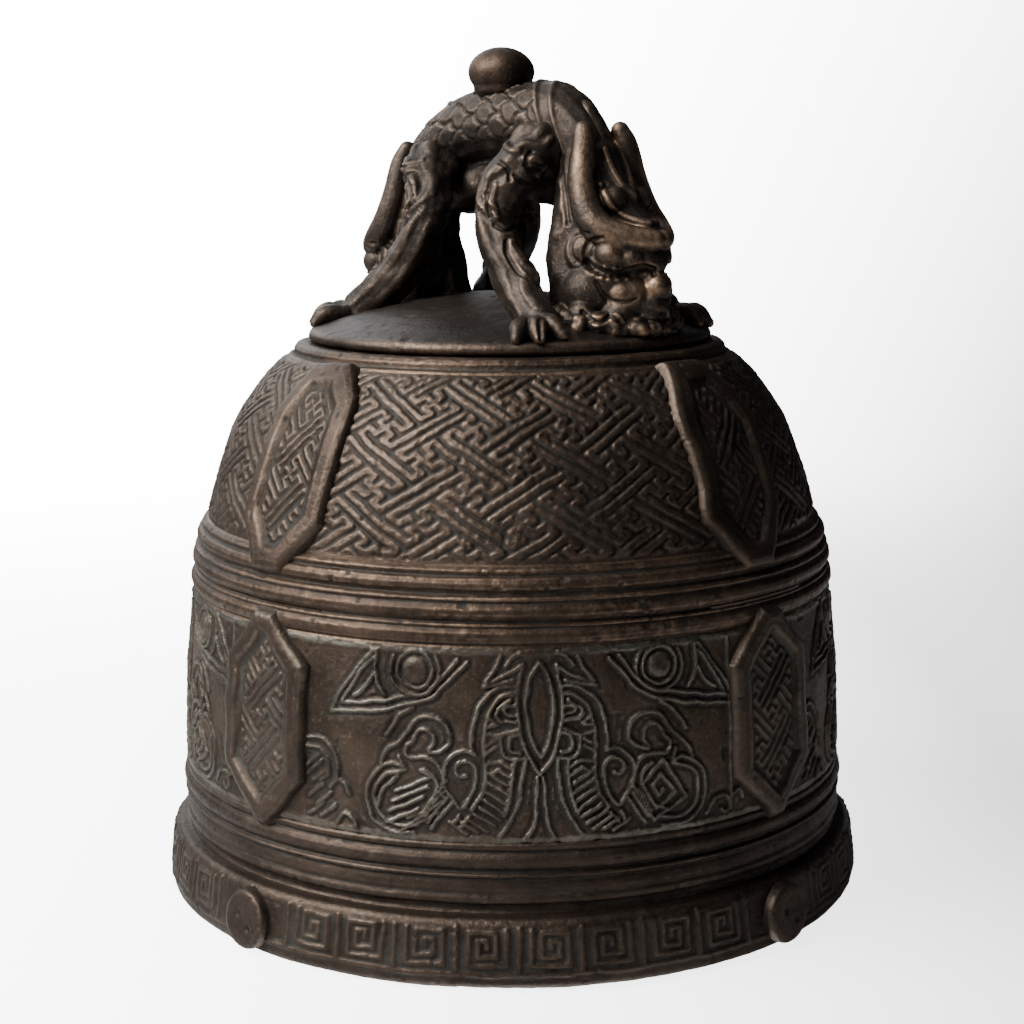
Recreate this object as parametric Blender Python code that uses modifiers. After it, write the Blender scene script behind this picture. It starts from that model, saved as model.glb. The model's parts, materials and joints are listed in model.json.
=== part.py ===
"""Small bronze temple bell: a turned and cast bell body under a two-headed dragon handle.

Model frame: metres, +Z up, the bell's axis on Z and its lip on the plane z = 0.
The dragon runs along X, one head over +X and one over -X, and every piece that
comes in fours stands over the X and Y axes. The clapper swings about a line
parallel to Y, so that its ball meets the wall on the +X and -X sides.
"""
import math

import bmesh
import bpy
from mathutils import Matrix, Vector

# ---------------------------------------------------------------- driving sizes
MM = 0.001
GAP = 0.3 * MM                  # clearance between neighbouring solids
TURN_STEPS = 48                 # facets round every turned piece

RIM_R = 70.0 * MM               # greatest radius, just above the lip
LIP_WALL = 5.0 * MM             # wall at the lip, where the bell is struck
WALL = 3.6 * MM                 # wall over the waist and shoulder
WAIST_LOW_Z = 25.0 * MM
WAIST_HIGH_Z = 60.0 * MM
RING_R = 42.0 * MM              # ring round the crown
RING_Z = 108.0 * MM
CROWN_R = 40.2 * MM             # loose crown plate that carries the handle
CROWN_SEAT_R = 36.0 * MM        # hole in the bell body that the plate plugs into

RELIEF_PROUD = 2.1 * MM         # how far a cartouche's frame stands off the wall
FIELD_PROUD = 0.9 * MM          # the sunken field inside the frame
FRAME_WIDTH = 3.4 * MM

BOSS_R = 5.6 * MM
BOSS_Z = 6.2 * MM
BOSS_PROUD = 2.2 * MM

PIVOT_Z = 96.0 * MM             # middle of the staple's wire, where the clapper hangs
STAPLE_WIRE_R = 1.5 * MM
STAPLE_HALF = 5.0 * MM
BALL_R = 10.5 * MM
BALL_Z = 22.0 * MM
ROD_R = 1.8 * MM

HEAD_HALF_Y = 8.6 * MM
WEST_HEAD_DROP = 3.2 * MM       # the west end of the arch stands a little lower
WEST_HEAD_OUT = 1.2 * MM
JEWEL_R = 6.5 * MM
JEWEL_CENTRE = (-1.0 * MM, -1.0 * MM, 160.2 * MM)

QUARTERS = ("east", "north", "west", "south")

# The outer wall, lip to crown ring, as (radius, height) in mm: fret band, ledge, base
# mouldings, waist, three rolls, shoulder. The wall's inner side follows WALL inside it.
LIP_AND_BAND = ((68.4, 0.0), (69.6, 0.8), (70.0, 3.0), (68.5, 12.1), (67.9, 12.4))
BASE_MOULDINGS = ((66.0, 12.9), (66.5, 15.0), (66.0, 17.4), (66.4, 19.6), (67.0, 21.9), (66.0, 24.0))
WAIST = ((66.0, 25.6), (65.8, 36.0), (65.3, 45.0), (64.3, 55.0), (63.8, 60.2))
ROLLS = ((64.3, 61.6), (64.3, 63.6), (63.2, 64.8), (63.9, 66.2), (63.4, 68.6), (62.4, 69.0),
         (62.9, 71.0), (62.0, 73.4))
SHOULDER = ((60.3, 75.0), (59.2, 79.0), (57.4, 85.0), (55.1, 91.0), (52.2, 96.2), (48.8, 101.0),
            (44.6, 105.2))
OUTER_WALL = tuple((r * MM, z * MM) for r, z in LIP_AND_BAND + BASE_MOULDINGS + WAIST + ROLLS + SHOULDER)


# ---------------------------------------------------------------- scene and materials
for old in list(bpy.data.objects):
    bpy.data.objects.remove(old, do_unlink=True)

bell_parts = bpy.data.collections.new("temple_bell")
cutters = bpy.data.collections.new("cutters")
bpy.context.scene.collection.children.link(bell_parts)
bpy.context.scene.collection.children.link(cutters)


def finish(name, colour, roughness, metallic):
    material = bpy.data.materials.new(name)
    material.use_nodes = True
    shader = material.node_tree.nodes["Principled BSDF"]
    shader.inputs["Base Color"].default_value = (*colour, 1.0)
    shader.inputs["Roughness"].default_value = roughness
    shader.inputs["Metallic"].default_value = metallic
    return material


DARK_BRONZE = finish("dark_bronze", (0.060, 0.043, 0.033), 0.48, 1.0)
RUBBED_BRONZE = finish("rubbed_bronze", (0.150, 0.095, 0.062), 0.40, 1.0)
BLACK_IRON = finish("black_iron", (0.045, 0.042, 0.040), 0.60, 1.0)


# ---------------------------------------------------------------- modelling helpers
def show(obj, name, material):
    """Name an object as a sub-part, give it its material and file it with the parts."""
    obj.name = name
    obj.data.name = name
    obj.data.materials.clear()
    obj.data.materials.append(material)
    for holder in list(obj.users_collection):
        holder.objects.unlink(obj)
    bell_parts.objects.link(obj)
    return obj


def hide(obj):
    """File an object with the cutters, where it is neither shown nor built."""
    for holder in list(obj.users_collection):
        holder.objects.unlink(obj)
    cutters.objects.link(obj)
    obj.hide_render = True
    obj.display_type = "WIRE"
    return obj


def new_object(name, data):
    obj = bpy.data.objects.new(name, data)
    bpy.context.scene.collection.objects.link(obj)
    return obj


def as_mesh(obj):
    """Turn an object into a plain mesh object, with its modifiers and place applied."""
    depsgraph = bpy.context.evaluated_depsgraph_get()
    mesh = bpy.data.meshes.new_from_object(obj.evaluated_get(depsgraph))
    mesh.transform(obj.matrix_world)
    welded = bmesh.new()
    welded.from_mesh(mesh)
    bmesh.ops.remove_doubles(welded, verts=welded.verts, dist=1e-6)
    bmesh.ops.recalc_face_normals(welded, faces=welded.faces)
    welded.to_mesh(mesh)
    welded.free()
    plain = new_object(obj.name, mesh)
    bpy.data.objects.remove(obj, do_unlink=True)
    return plain


def combine(obj, other, operation, solver="EXACT"):
    """Join, cut or intersect obj with other, and keep only the result."""
    boolean = obj.modifiers.new(operation.lower(), "BOOLEAN")
    boolean.operation = operation
    boolean.solver = solver
    boolean.object = other
    bpy.context.view_layer.update()
    return as_mesh(obj)


def join_all(pieces):
    """Union a list of overlapping closed pieces into one."""
    whole = pieces[0]
    for piece in pieces[1:]:
        whole = combine(whole, piece, "UNION")
        bpy.data.objects.remove(piece, do_unlink=True)
    return whole


def turned(name, profile):
    """Turn a closed (radius, height) outline, listed down its outer side, about Z."""
    outline = bmesh.new()
    points = [outline.verts.new((r, 0.0, z)) for r, z in profile]
    for start, end in zip(points, points[1:]):
        outline.edges.new((start, end))
    on_axis = profile[0][0] == 0.0 and profile[-1][0] == 0.0
    if not on_axis:
        outline.edges.new((points[-1], points[0]))
    mesh = bpy.data.meshes.new(name)
    outline.to_mesh(mesh)
    outline.free()
    obj = new_object(name, mesh)
    screw = obj.modifiers.new("turn", "SCREW")
    screw.axis = "Z"
    screw.steps = TURN_STEPS
    screw.render_steps = TURN_STEPS
    screw.use_merge_vertices = True
    screw.merge_threshold = 1e-6
    screw.use_smooth_shade = True
    bpy.context.view_layer.update()
    return as_mesh(obj)


def tube(name, path, radii, resolution=2):
    """A closed tube through smooth path points, with its own radius at each point."""
    curve = bpy.data.curves.new(name, "CURVE")
    curve.dimensions = "3D"
    curve.bevel_depth = 1.0
    curve.bevel_resolution = resolution
    curve.use_fill_caps = True
    spline = curve.splines.new("POLY")
    spline.points.add(len(path) - 1)
    for point, place, radius in zip(spline.points, path, radii):
        point.co = (*place, 1.0)
        point.radius = radius
    bpy.context.view_layer.update()
    return as_mesh(new_object(name, curve))


def smooth(points, per_span=3):
    """Catmull-Rom points through a list of tuples of any length."""
    ends = [points[0]] + list(points) + [points[-1]]
    result = []
    for i in range(1, len(ends) - 2):
        p0, p1, p2, p3 = (Vector(ends[i + k - 1]) for k in range(4))
        for step in range(per_span):
            t = step / per_span
            result.append(tuple(0.5 * (2 * p1 + (p2 - p0) * t + (2 * p0 - 5 * p1 + 4 * p2 - p3) * t ** 2
                                       + (3 * p1 - p0 - 3 * p2 + p3) * t ** 3)))
    result.append(tuple(points[-1]))
    return result


def limb(name, stations, grow=0.0):
    """A tapering tube through (x, y, z, radius) stations given in millimetres."""
    fine = smooth(stations)
    path = [Vector(s[:3]) * MM for s in fine]
    radii = [s[3] * MM + grow for s in fine]
    if grow:
        path[0] += (path[0] - path[1]).normalized() * grow
        path[-1] += (path[-1] - path[-2]).normalized() * grow
    return tube(name, path, radii)


def ball(name, centre, radius, height=1.0):
    bpy.ops.mesh.primitive_uv_sphere_add(segments=16, ring_count=10, radius=radius, location=centre)
    obj = bpy.context.object
    obj.name = name
    obj.scale.z = height
    bpy.context.view_layer.update()
    return as_mesh(obj)


# ---------------------------------------------------------------- bell body
def wall_radius(height):
    """Outer radius of the bell body at a height."""
    for (r0, z0), (r1, z1) in zip(OUTER_WALL, OUTER_WALL[1:]):
        if z0 <= height <= z1:
            return r0 + (r1 - r0) * (height - z0) / (z1 - z0)
    return OUTER_WALL[-1][0]


def make_bell_body():
    """The cast bell: a turned wall with its mouldings, open at the lip and at the crown."""
    crown = [(CROWN_SEAT_R, RING_Z), (RING_R, RING_Z), (RING_R + 1.0 * MM, RING_Z - 1.2 * MM)]
    outside = list(reversed(OUTER_WALL))
    lip_inside = [(OUTER_WALL[0][0] - LIP_WALL, 0.0), (64.4 * MM, 12.0 * MM)]
    waist_inside = [(r - WALL, z) for r, z in OUTER_WALL if WAIST_LOW_Z < z < WAIST_HIGH_Z]
    shoulder_inside = [(wall_radius(z * MM) - WALL, z * MM - 0.6 * MM) for z in (70, 79, 88, 95)]
    crown_inside = [(42.6 * MM, 101.4 * MM), (CROWN_SEAT_R, 104.2 * MM)]
    profile = crown + outside + lip_inside + waist_inside + shoulder_inside + crown_inside
    return show(turned("bell_body", profile), "bell_body", DARK_BRONZE)


# ---------------------------------------------------------------- crown plate
CROWN_DOME = ((0.0, 117.6), (8.0, 117.3), (18.0, 116.0), (28.0, 113.9), (36.0, 111.6), (40.2, 110.0))


def make_crown_plate():
    """The domed plate that plugs the bell body and carries the handle and the staple."""
    dome = [(r * MM, z * MM) for r, z in CROWN_DOME]
    flange = [(CROWN_R, RING_Z + GAP), (CROWN_SEAT_R - GAP, RING_Z + GAP)]
    plug = [(CROWN_SEAT_R - GAP, 105.0 * MM), (32.0 * MM, 105.0 * MM), (20.0 * MM, 110.6 * MM)]
    stud_boss = [(8.0 * MM, 112.4 * MM), (7.4 * MM, 111.0 * MM), (2.3 * MM, 111.0 * MM),
                 (2.3 * MM, 115.4 * MM), (0.0, 115.4 * MM)]
    return show(turned("crown_plate", dome + flange + plug + stud_boss), "crown_plate", DARK_BRONZE)


def crown_clearance():
    """Cutter: the crown plate's dome grown by the gap, and everything below it."""
    dome = [(r * MM * 1.001, z * MM + GAP) for r, z in CROWN_DOME]
    outside = [(44.0 * MM, RING_Z + GAP), (60.0 * MM, RING_Z + GAP), (60.0 * MM, 95.0 * MM), (0.0, 95.0 * MM)]
    return hide(turned("crown_clearance", dome + outside))


# ---------------------------------------------------------------- applied cartouches
def wall_skin(name, low, high, floor, top):
    """A turned skin over the wall between two heights, from floor to top off its surface."""
    levels = [z for _, z in OUTER_WALL if low < z < high]
    heights = [low] + levels + [high]
    inner = [(wall_radius(z) + floor, z) for z in heights]
    outer = [(wall_radius(z) + top, z) for z in heights]
    return hide(turned(name, list(reversed(outer)) + inner))


def standing_prism(name, corners, depth):
    """A prism whose (sideways, up) outline faces +X, running outwards through the wall."""
    curve = bpy.data.curves.new(name, "CURVE")
    curve.dimensions = "2D"
    curve.fill_mode = "BOTH"
    curve.extrude = depth / 2
    spline = curve.splines.new("POLY")
    spline.points.add(len(corners) - 1)
    for point, (sideways, up) in zip(spline.points, corners):
        point.co = (sideways * MM, up * MM, 0.0, 1.0)
    spline.use_cyclic_u = True
    obj = new_object(name, curve)
    obj.location = (RING_R + depth / 2, 0, 0)
    obj.rotation_euler = (math.radians(90), 0, math.radians(90))
    bpy.context.view_layer.update()
    return as_mesh(obj)


def inset(corners, width):
    """The outline moved inwards by width on every side, mitred at the corners."""
    centre = sum((Vector(corner) for corner in corners), Vector((0, 0))) / len(corners)
    result = []
    for i, corner in enumerate(corners):
        here = Vector(corner)
        side_in = here - Vector(corners[i - 1])
        side_out = Vector(corners[(i + 1) % len(corners)]) - here
        normals = [Vector((-side.y, side.x)).normalized() for side in (side_in, side_out)]
        normals = [n if n.dot(centre - here) > 0 else -n for n in normals]
        mitre = (normals[0] + normals[1]).normalized()
        result.append(tuple(here + mitre * width / mitre.dot(normals[0])))
    return result


UPPER_CARTOUCHE = ((-3.0, 105.6), (3.0, 105.6), (9.6, 97.0), (10.8, 78.5), (3.4, 70.8), (-3.4, 70.8),
                   (-10.8, 78.5), (-9.6, 97.0))
LOWER_CARTOUCHE = ((0.0, 62.4), (11.0, 54.5), (11.4, 32.6), (0.0, 23.6), (-11.4, 32.6), (-11.0, 54.5))


def make_cartouches(name, corners, low, high):
    """Four cast plaques that follow the wall, each a raised frame round a sunken field."""
    depth = 50.0 * MM
    blank = wall_skin(name + "_blank", low * MM, high * MM, GAP / 0.85, RELIEF_PROUD)
    plaque = combine(standing_prism(name, corners, depth), blank, "INTERSECT")
    above_field = wall_skin(name + "_above_field", (low - 1) * MM, high * MM, FIELD_PROUD, RELIEF_PROUD * 2)
    pocket = combine(standing_prism(name + "_pocket", inset(corners, FRAME_WIDTH / MM), depth * 1.1),
                     above_field, "INTERSECT")
    plaque = combine(plaque, hide(pocket), "DIFFERENCE")
    for quarter, side in enumerate(QUARTERS):
        copy = new_object(name, plaque.data.copy())
        copy.rotation_euler.z = math.radians(90.0 * quarter)
        show(copy, f"{name}_{side}", RUBBED_BRONZE)
    bpy.data.objects.remove(plaque, do_unlink=True)


# ---------------------------------------------------------------- striking bosses
def make_striking_bosses():
    """Four round bosses on the fret band, seated on flats GAP off the wall."""
    depth = 8.0 * MM
    bpy.ops.mesh.primitive_cylinder_add(vertices=32, radius=BOSS_R, depth=depth, location=(
        RIM_R + BOSS_PROUD - depth / 2, 0, BOSS_Z), rotation=(0, math.radians(90), 0))
    disc = bpy.context.object
    edge = disc.modifiers.new("edge", "BEVEL")
    edge.width = 0.6 * MM
    edge.segments = 2
    disc = as_mesh(disc)
    grown = [(r * MM + GAP / 0.95, z * MM) for r, z in LIP_AND_BAND]
    seat = hide(turned("boss_seat", [(0.0, 14.0 * MM), (grown[-1][0], 14.0 * MM)] + list(reversed(grown))
                       + [(grown[0][0], -1.0 * MM), (0.0, -1.0 * MM)]))
    disc = combine(disc, seat, "DIFFERENCE")
    bpy.data.objects.remove(seat, do_unlink=True)
    for quarter, side in enumerate(QUARTERS):
        copy = new_object("striking_boss", disc.data.copy())
        copy.rotation_euler.z = math.radians(90.0 * quarter)
        show(copy, f"striking_boss_{side}", RUBBED_BRONZE)
    bpy.data.objects.remove(disc, do_unlink=True)


# ---------------------------------------------------------------- dragon handle
BACK = ((-26.0, 0, 138.5, 5.0), (-21.5, 0, 142.8, 6.2), (-15.5, 0, 146.8, 7.0), (-8.0, 0, 149.6, 7.2),
        (0, 0, 150.4, 7.2), (8.0, 0, 150.9, 7.2), (14.5, 0, 151.2, 7.1), (20.5, 0, 147.8, 6.5),
        (25.0, 0, 142.0, 5.4))
BELLY = ((-20.0, 0, 136.8, 4.2), (-15.5, 0, 137.0, 4.7), (-10.5, 0, 137.4, 4.8), (-4.0, 0, 139.0, 4.6),
         (4.0, 0, 140.6, 4.6), (9.5, 0, 139.8, 4.7), (15.0, 0, 139.0, 4.7), (20.0, 0, 137.6, 4.4))
LEG = ((14.0, 6.0, 150.0, 5.4), (11.5, 10.5, 142.5, 5.1), (9.2, 13.0, 133.0, 4.3), (13.5, 14.6, 124.5, 3.9),
       (21.0, 16.6, 117.4, 4.3), (26.5, 20.2, 113.4, 4.2))
CLAWS = (((26.0, 18.5, 112.6, 2.2), (29.5, 19.2, 112.8, 1.9), (33.0, 19.8, 111.0, 1.1)),
         ((26.0, 20.6, 112.6, 2.2), (29.0, 22.8, 112.6, 1.9), (31.6, 24.6, 110.8, 1.1)),
         ((25.0, 21.4, 112.6, 2.2), (26.6, 25.0, 112.2, 1.9), (28.0, 27.6, 110.6, 1.1)))
HORN_RIDGE = ((25.4, 5.6, 150.4, 1.8), (27.8, 7.2, 144.0, 2.2), (30.4, 8.2, 136.0, 2.4),
              (34.0, 7.4, 130.6, 2.4), (38.2, 3.4, 128.0, 2.2), (40.2, 0.0, 127.6, 1.7))
MANE_CREST = ((21.5, 0, 152.6, 2.2), (24.0, 0, 149.8, 2.4), (27.0, 0, 145.0, 2.2))
HEAD_SIDE = ((20.0, 112.6), (19.4, 118.0), (20.6, 124.0), (21.4, 134.0), (21.4, 146.0), (25.6, 149.0),
             (28.0, 144.0), (31.4, 134.0), (36.6, 129.0), (37.4, 124.6), (36.4, 121.6), (38.6, 118.6),
             (37.6, 115.0), (38.6, 112.6), (38.0, 104.0), (22.0, 104.0))


def across(stations, hand):
    """Stations given for +Y, moved to -Y when hand is -1."""
    return [(x, y * hand, z, r) for x, y, z, r in stations]


def mirrored(obj, name, side, hand):
    """A copy of a piece made over +X and +Y, moved to another side by reflection."""
    copy = new_object(name, obj.data.copy())
    copy.data.transform(Matrix.Diagonal((side, hand, 1, 1)))
    if side * hand < 0:
        copy.data.flip_normals()
    return copy


def trunk_shape(name, grow=0.0):
    """The arched back with the narrower belly under it, grown by a clearance."""
    return join_all([limb(name, BACK, grow), limb(name + "_belly", BELLY, grow)])


def make_dragon_trunk():
    """The arched, scaled back that is held to lift the bell."""
    return show(trunk_shape("dragon_trunk"), "dragon_trunk", DARK_BRONZE)


def make_jewel(trunk_clearance):
    """The round jewel on the middle of the back."""
    jewel = ball("jewel", JEWEL_CENTRE, JEWEL_R, 0.74)
    return show(combine(jewel, trunk_clearance, "DIFFERENCE"), "jewel", RUBBED_BRONZE)


def make_heads(trunk_clearance, crown_cutter):
    """Two dragon heads looking outwards, each with two horn ridges that meet in a visor."""
    outline = bpy.data.curves.new("skull", "CURVE")
    outline.dimensions = "2D"
    outline.fill_mode = "BOTH"
    outline.extrude = HEAD_HALF_Y - 1.6 * MM
    spline = outline.splines.new("POLY")
    spline.points.add(len(HEAD_SIDE) - 1)
    for point, (x, z) in zip(spline.points, HEAD_SIDE):
        point.co = (x * MM, z * MM, 0.0, 1.0)
    spline.use_cyclic_u = True
    skull = new_object("skull", outline)
    skull.rotation_euler.x = math.radians(90)
    bpy.context.view_layer.update()
    skull = as_mesh(skull)
    rounding = skull.modifiers.new("rounding", "BEVEL")
    rounding.width = 1.2 * MM
    rounding.segments = 1
    rounding.limit_method = "ANGLE"
    rounding.angle_limit = math.radians(60)
    bpy.context.view_layer.update()
    cheeks = [ball("cheek", (30.0 * MM, 5.2 * MM * hand, 121.0 * MM), 5.2 * MM, 1.5) for hand in (1, -1)]
    ridges = [limb("ridge", across(HORN_RIDGE, hand)) for hand in (1, -1)]
    nose = ball("nose", (38.6 * MM, 0, 120.0 * MM), 2.4 * MM)
    head = join_all([as_mesh(skull)] + cheeks + ridges + [limb("crest", MANE_CREST), nose])
    for end, side, out, drop in (("east", 1, 0, 0), ("west", -1, WEST_HEAD_OUT, WEST_HEAD_DROP)):
        copy = mirrored(head, "head", side, 1)
        copy.data.transform(Matrix.Translation((side * out, 0, -drop)))
        copy = combine(copy, crown_cutter, "DIFFERENCE", "MANIFOLD")
        copy = combine(copy, trunk_clearance, "DIFFERENCE")
        show(copy, f"dragon_head_{end}", DARK_BRONZE)
    bpy.data.objects.remove(head, do_unlink=True)


def make_legs(trunk_clearance, crown_cutter):
    """Four bent legs, each with three claws on the crown plate."""
    leg = join_all([limb("leg", LEG)] + [limb("claw", claw) for claw in CLAWS])
    leg = combine(leg, crown_cutter, "DIFFERENCE", "MANIFOLD")
    for end, side in (("east", 1), ("west", -1)):
        for flank, hand in (("north", 1), ("south", -1)):
            copy = combine(mirrored(leg, "leg", side, hand), trunk_clearance, "DIFFERENCE")
            show(copy, f"dragon_leg_{end}_{flank}", DARK_BRONZE)
    bpy.data.objects.remove(leg, do_unlink=True)


def make_dragon():
    trunk_clearance = hide(trunk_shape("trunk_clearance", GAP / 0.9))
    crown_cutter = crown_clearance()
    make_dragon_trunk()
    make_jewel(trunk_clearance)
    make_heads(trunk_clearance, crown_cutter)
    make_legs(trunk_clearance, crown_cutter)


# ---------------------------------------------------------------- clapper and its staple
def make_staple():
    """The iron loop screwed into the boss under the crown plate."""
    flange = turned("staple", [(0.0, 115.0 * MM), (2.0 * MM, 115.0 * MM), (2.0 * MM, 110.7 * MM),
                               (7.0 * MM, 110.7 * MM), (7.0 * MM, 109.0 * MM), (0.0, 109.0 * MM)])
    bend = [(0, STAPLE_HALF * math.cos(a), PIVOT_Z + STAPLE_HALF + STAPLE_HALF * math.sin(a))
            for a in (math.pi + math.pi * i / 8 for i in range(9))]
    path = [(0, -STAPLE_HALF, 110.0 * MM)] + bend + [(0, STAPLE_HALF, 110.0 * MM)]
    loop = tube("staple_loop", path, [STAPLE_WIRE_R] * len(path))
    return show(join_all([flange, loop]), "clapper_staple", BLACK_IRON)


def make_clapper():
    """The rod with its eye round the staple, and the ball on its lower end."""
    pivot = bpy.data.objects.new("clapper_pivot", None)
    pivot.location = (0, 0, PIVOT_Z)
    bell_parts.objects.link(pivot)
    eye_r = 3.7 * MM
    eye_wire = 1.4 * MM
    eye_drop = 0.4 * MM
    bpy.ops.mesh.primitive_torus_add(major_radius=eye_r, minor_radius=eye_wire, major_segments=20,
                                     minor_segments=8, location=(0, 0, PIVOT_Z - eye_drop),
                                     rotation=(math.radians(90), 0, 0))
    eye = as_mesh(bpy.context.object)
    top = PIVOT_Z - eye_drop - eye_r
    bpy.ops.mesh.primitive_cylinder_add(vertices=12, radius=ROD_R, depth=top - BALL_Z,
                                        location=(0, 0, (top + BALL_Z) / 2))
    rod = join_all([eye, as_mesh(bpy.context.object)])
    iron = ball("clapper_ball", (0, 0, BALL_Z), BALL_R)
    bpy.ops.mesh.primitive_cylinder_add(vertices=16, radius=ROD_R + GAP / 0.9, depth=BALL_R * 2,
                                        location=(0, 0, BALL_Z + BALL_R - GAP))
    socket = hide(as_mesh(bpy.context.object))
    iron = combine(iron, socket, "DIFFERENCE")
    bpy.data.objects.remove(socket, do_unlink=True)
    for piece, name in ((rod, "clapper_rod"), (iron, "clapper_ball")):
        piece.data.transform(Matrix.Translation((0, 0, -PIVOT_Z)))
        show(piece, name, BLACK_IRON).parent = pivot


make_bell_body()
make_crown_plate()
make_cartouches("upper_cartouche", UPPER_CARTOUCHE, 71.0, 105.2)
make_cartouches("lower_cartouche", LOWER_CARTOUCHE, 24.2, 62.0)
make_striking_bosses()
make_dragon()
make_staple()
make_clapper()

for part in bell_parts.objects:
    if part.type == "MESH":
        part.data.shade_smooth()
        part.data.set_sharp_from_angle(angle=math.radians(35))
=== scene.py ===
import json
import math

import bpy
import numpy as np
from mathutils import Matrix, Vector

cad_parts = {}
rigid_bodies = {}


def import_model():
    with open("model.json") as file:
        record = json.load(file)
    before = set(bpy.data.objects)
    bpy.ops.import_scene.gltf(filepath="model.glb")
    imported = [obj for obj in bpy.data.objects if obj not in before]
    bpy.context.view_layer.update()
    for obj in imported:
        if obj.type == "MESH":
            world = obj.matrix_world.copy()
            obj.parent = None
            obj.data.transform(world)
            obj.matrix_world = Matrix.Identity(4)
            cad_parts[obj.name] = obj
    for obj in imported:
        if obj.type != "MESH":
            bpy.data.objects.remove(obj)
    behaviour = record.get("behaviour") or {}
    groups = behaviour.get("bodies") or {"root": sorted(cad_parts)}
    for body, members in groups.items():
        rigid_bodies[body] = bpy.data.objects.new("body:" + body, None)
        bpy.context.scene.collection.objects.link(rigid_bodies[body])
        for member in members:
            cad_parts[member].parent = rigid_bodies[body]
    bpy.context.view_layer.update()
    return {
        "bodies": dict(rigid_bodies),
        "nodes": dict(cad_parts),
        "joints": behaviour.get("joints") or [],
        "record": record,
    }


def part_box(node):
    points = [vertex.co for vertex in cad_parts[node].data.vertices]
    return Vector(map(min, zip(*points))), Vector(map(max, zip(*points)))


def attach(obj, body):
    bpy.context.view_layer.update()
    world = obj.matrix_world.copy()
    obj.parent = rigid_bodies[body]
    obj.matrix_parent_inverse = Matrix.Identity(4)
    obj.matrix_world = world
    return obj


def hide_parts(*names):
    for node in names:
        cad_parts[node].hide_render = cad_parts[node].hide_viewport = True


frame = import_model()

MM = 0.001
body_low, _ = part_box("bell_body")
bpy.ops.object.select_all(action="DESELECT")

# ---- Camera, floor and light
# The bell stands on a white table in front of a white wall, seen from a little above its
# waist, with one big soft window on the left and a darker room on the right.
CAMERA_TURN = math.radians(44.05)
CAMERA_REACH = 399.6 * MM
CAMERA_HEIGHT = 143.1 * MM
CAMERA_SIDE = 0.61 * MM
CAMERA_DIP = math.radians(9.96)
CAMERA_ROLL = math.radians(0.30)
away = Vector((math.sin(CAMERA_TURN), -math.cos(CAMERA_TURN), 0))
rightwards = Vector((math.cos(CAMERA_TURN), math.sin(CAMERA_TURN), 0))
bpy.ops.object.camera_add(location=away * CAMERA_REACH + rightwards * CAMERA_SIDE
                          + Vector((0, 0, CAMERA_HEIGHT)))
camera = bpy.context.object
camera.rotation_euler = (math.radians(90) - CAMERA_DIP, CAMERA_ROLL, CAMERA_TURN)
camera.data.sensor_width = 36
camera.data.lens = 36 * 2000 / 1024
camera.data.clip_start = 0.01
bpy.context.scene.camera = camera


def lamp(name, azimuth, elevation, reach, size, power, colour):
    """A soft lamp aimed at the bell; azimuth 0 is the camera's side, + is its right."""
    turn = CAMERA_TURN + math.radians(azimuth)
    rise = math.radians(elevation)
    aim = Vector((0, 0, 80 * MM))
    out = Vector((math.sin(turn) * math.cos(rise), -math.cos(turn) * math.cos(rise), math.sin(rise)))
    bpy.ops.object.light_add(type="AREA", location=aim + out * reach)
    light = bpy.context.object
    light.name = name
    light.data.shape = "RECTANGLE"
    light.data.size, light.data.size_y = size
    light.data.energy = power
    light.data.color = colour
    light.rotation_mode = "QUATERNION"
    light.rotation_quaternion = out.to_track_quat("Z", "Y")


lamp("window", -66, 40, reach=1.1, size=(0.8, 0.8), power=32.0, colour=(1.0, 0.97, 0.93))
lamp("wall_glow", -150, 30, reach=1.3, size=(1.2, 1.0), power=9.0, colour=(0.96, 0.98, 1.0))
lamp("room_fill", 35, 18, reach=1.6, size=(1.2, 1.2), power=0.15, colour=(0.93, 0.96, 1.0))
lamp("under_mouth", 0, -89, reach=0.43, size=(0.12, 0.12), power=1.5, colour=(1.0, 0.98, 0.96))
lamp("ceiling", 10, 88, reach=1.4, size=(0.8, 0.8), power=1.6, colour=(1.0, 0.98, 0.96))


def remapped(tree, value, low, high, at_low=0.0, at_high=1.0, course="LINEAR"):
    """A shader value carried from low..high to at_low..at_high and held beyond them."""
    node = tree.nodes.new("ShaderNodeMapRange")
    node.interpolation_type = course
    node.inputs["From Min"].default_value = low
    node.inputs["From Max"].default_value = high
    node.inputs["To Min"].default_value = at_low
    node.inputs["To Max"].default_value = at_high
    tree.links.new(value, node.inputs["Value"])
    return node.outputs["Result"]


def worked_out(tree, kind, operation, *values):
    """The result of a Math or VectorMath node; each value is a socket or a constant."""
    node = tree.nodes.new(f"ShaderNode{kind}")
    node.operation = operation
    for socket, value in zip(node.inputs, values):
        if isinstance(value, bpy.types.NodeSocket):
            tree.links.new(value, socket)
        else:
            socket.default_value = value
    return node.outputs["Value"]


# The lens sees a white wall that falls to dusk on the right; what it casts on the bell is dim.
world = bpy.data.worlds.new("white_room")
bpy.context.scene.world = world
world.use_nodes = True
tree = world.node_tree
tree.nodes.clear()
toward = tree.nodes.new("ShaderNodeTexCoord").outputs["Generated"]
darker_side = rightwards - Vector((0, 0, 0.45))
sideways = worked_out(tree, "VectorMath", "DOT_PRODUCT", toward, darker_side)
wall = tree.nodes.new("ShaderNodeBackground")
wall.inputs["Color"].default_value = (0.93, 0.935, 0.945, 1)
tree.links.new(remapped(tree, sideways, -0.10, 0.38, 18.0, 0.75), wall.inputs["Strength"])
dim = tree.nodes.new("ShaderNodeBackground")
dim.inputs["Color"].default_value = (0.80, 0.84, 0.90, 1)
dim.inputs["Strength"].default_value = 0.035
blend = tree.nodes.new("ShaderNodeMixShader")
out = tree.nodes.new("ShaderNodeOutputWorld")
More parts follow.
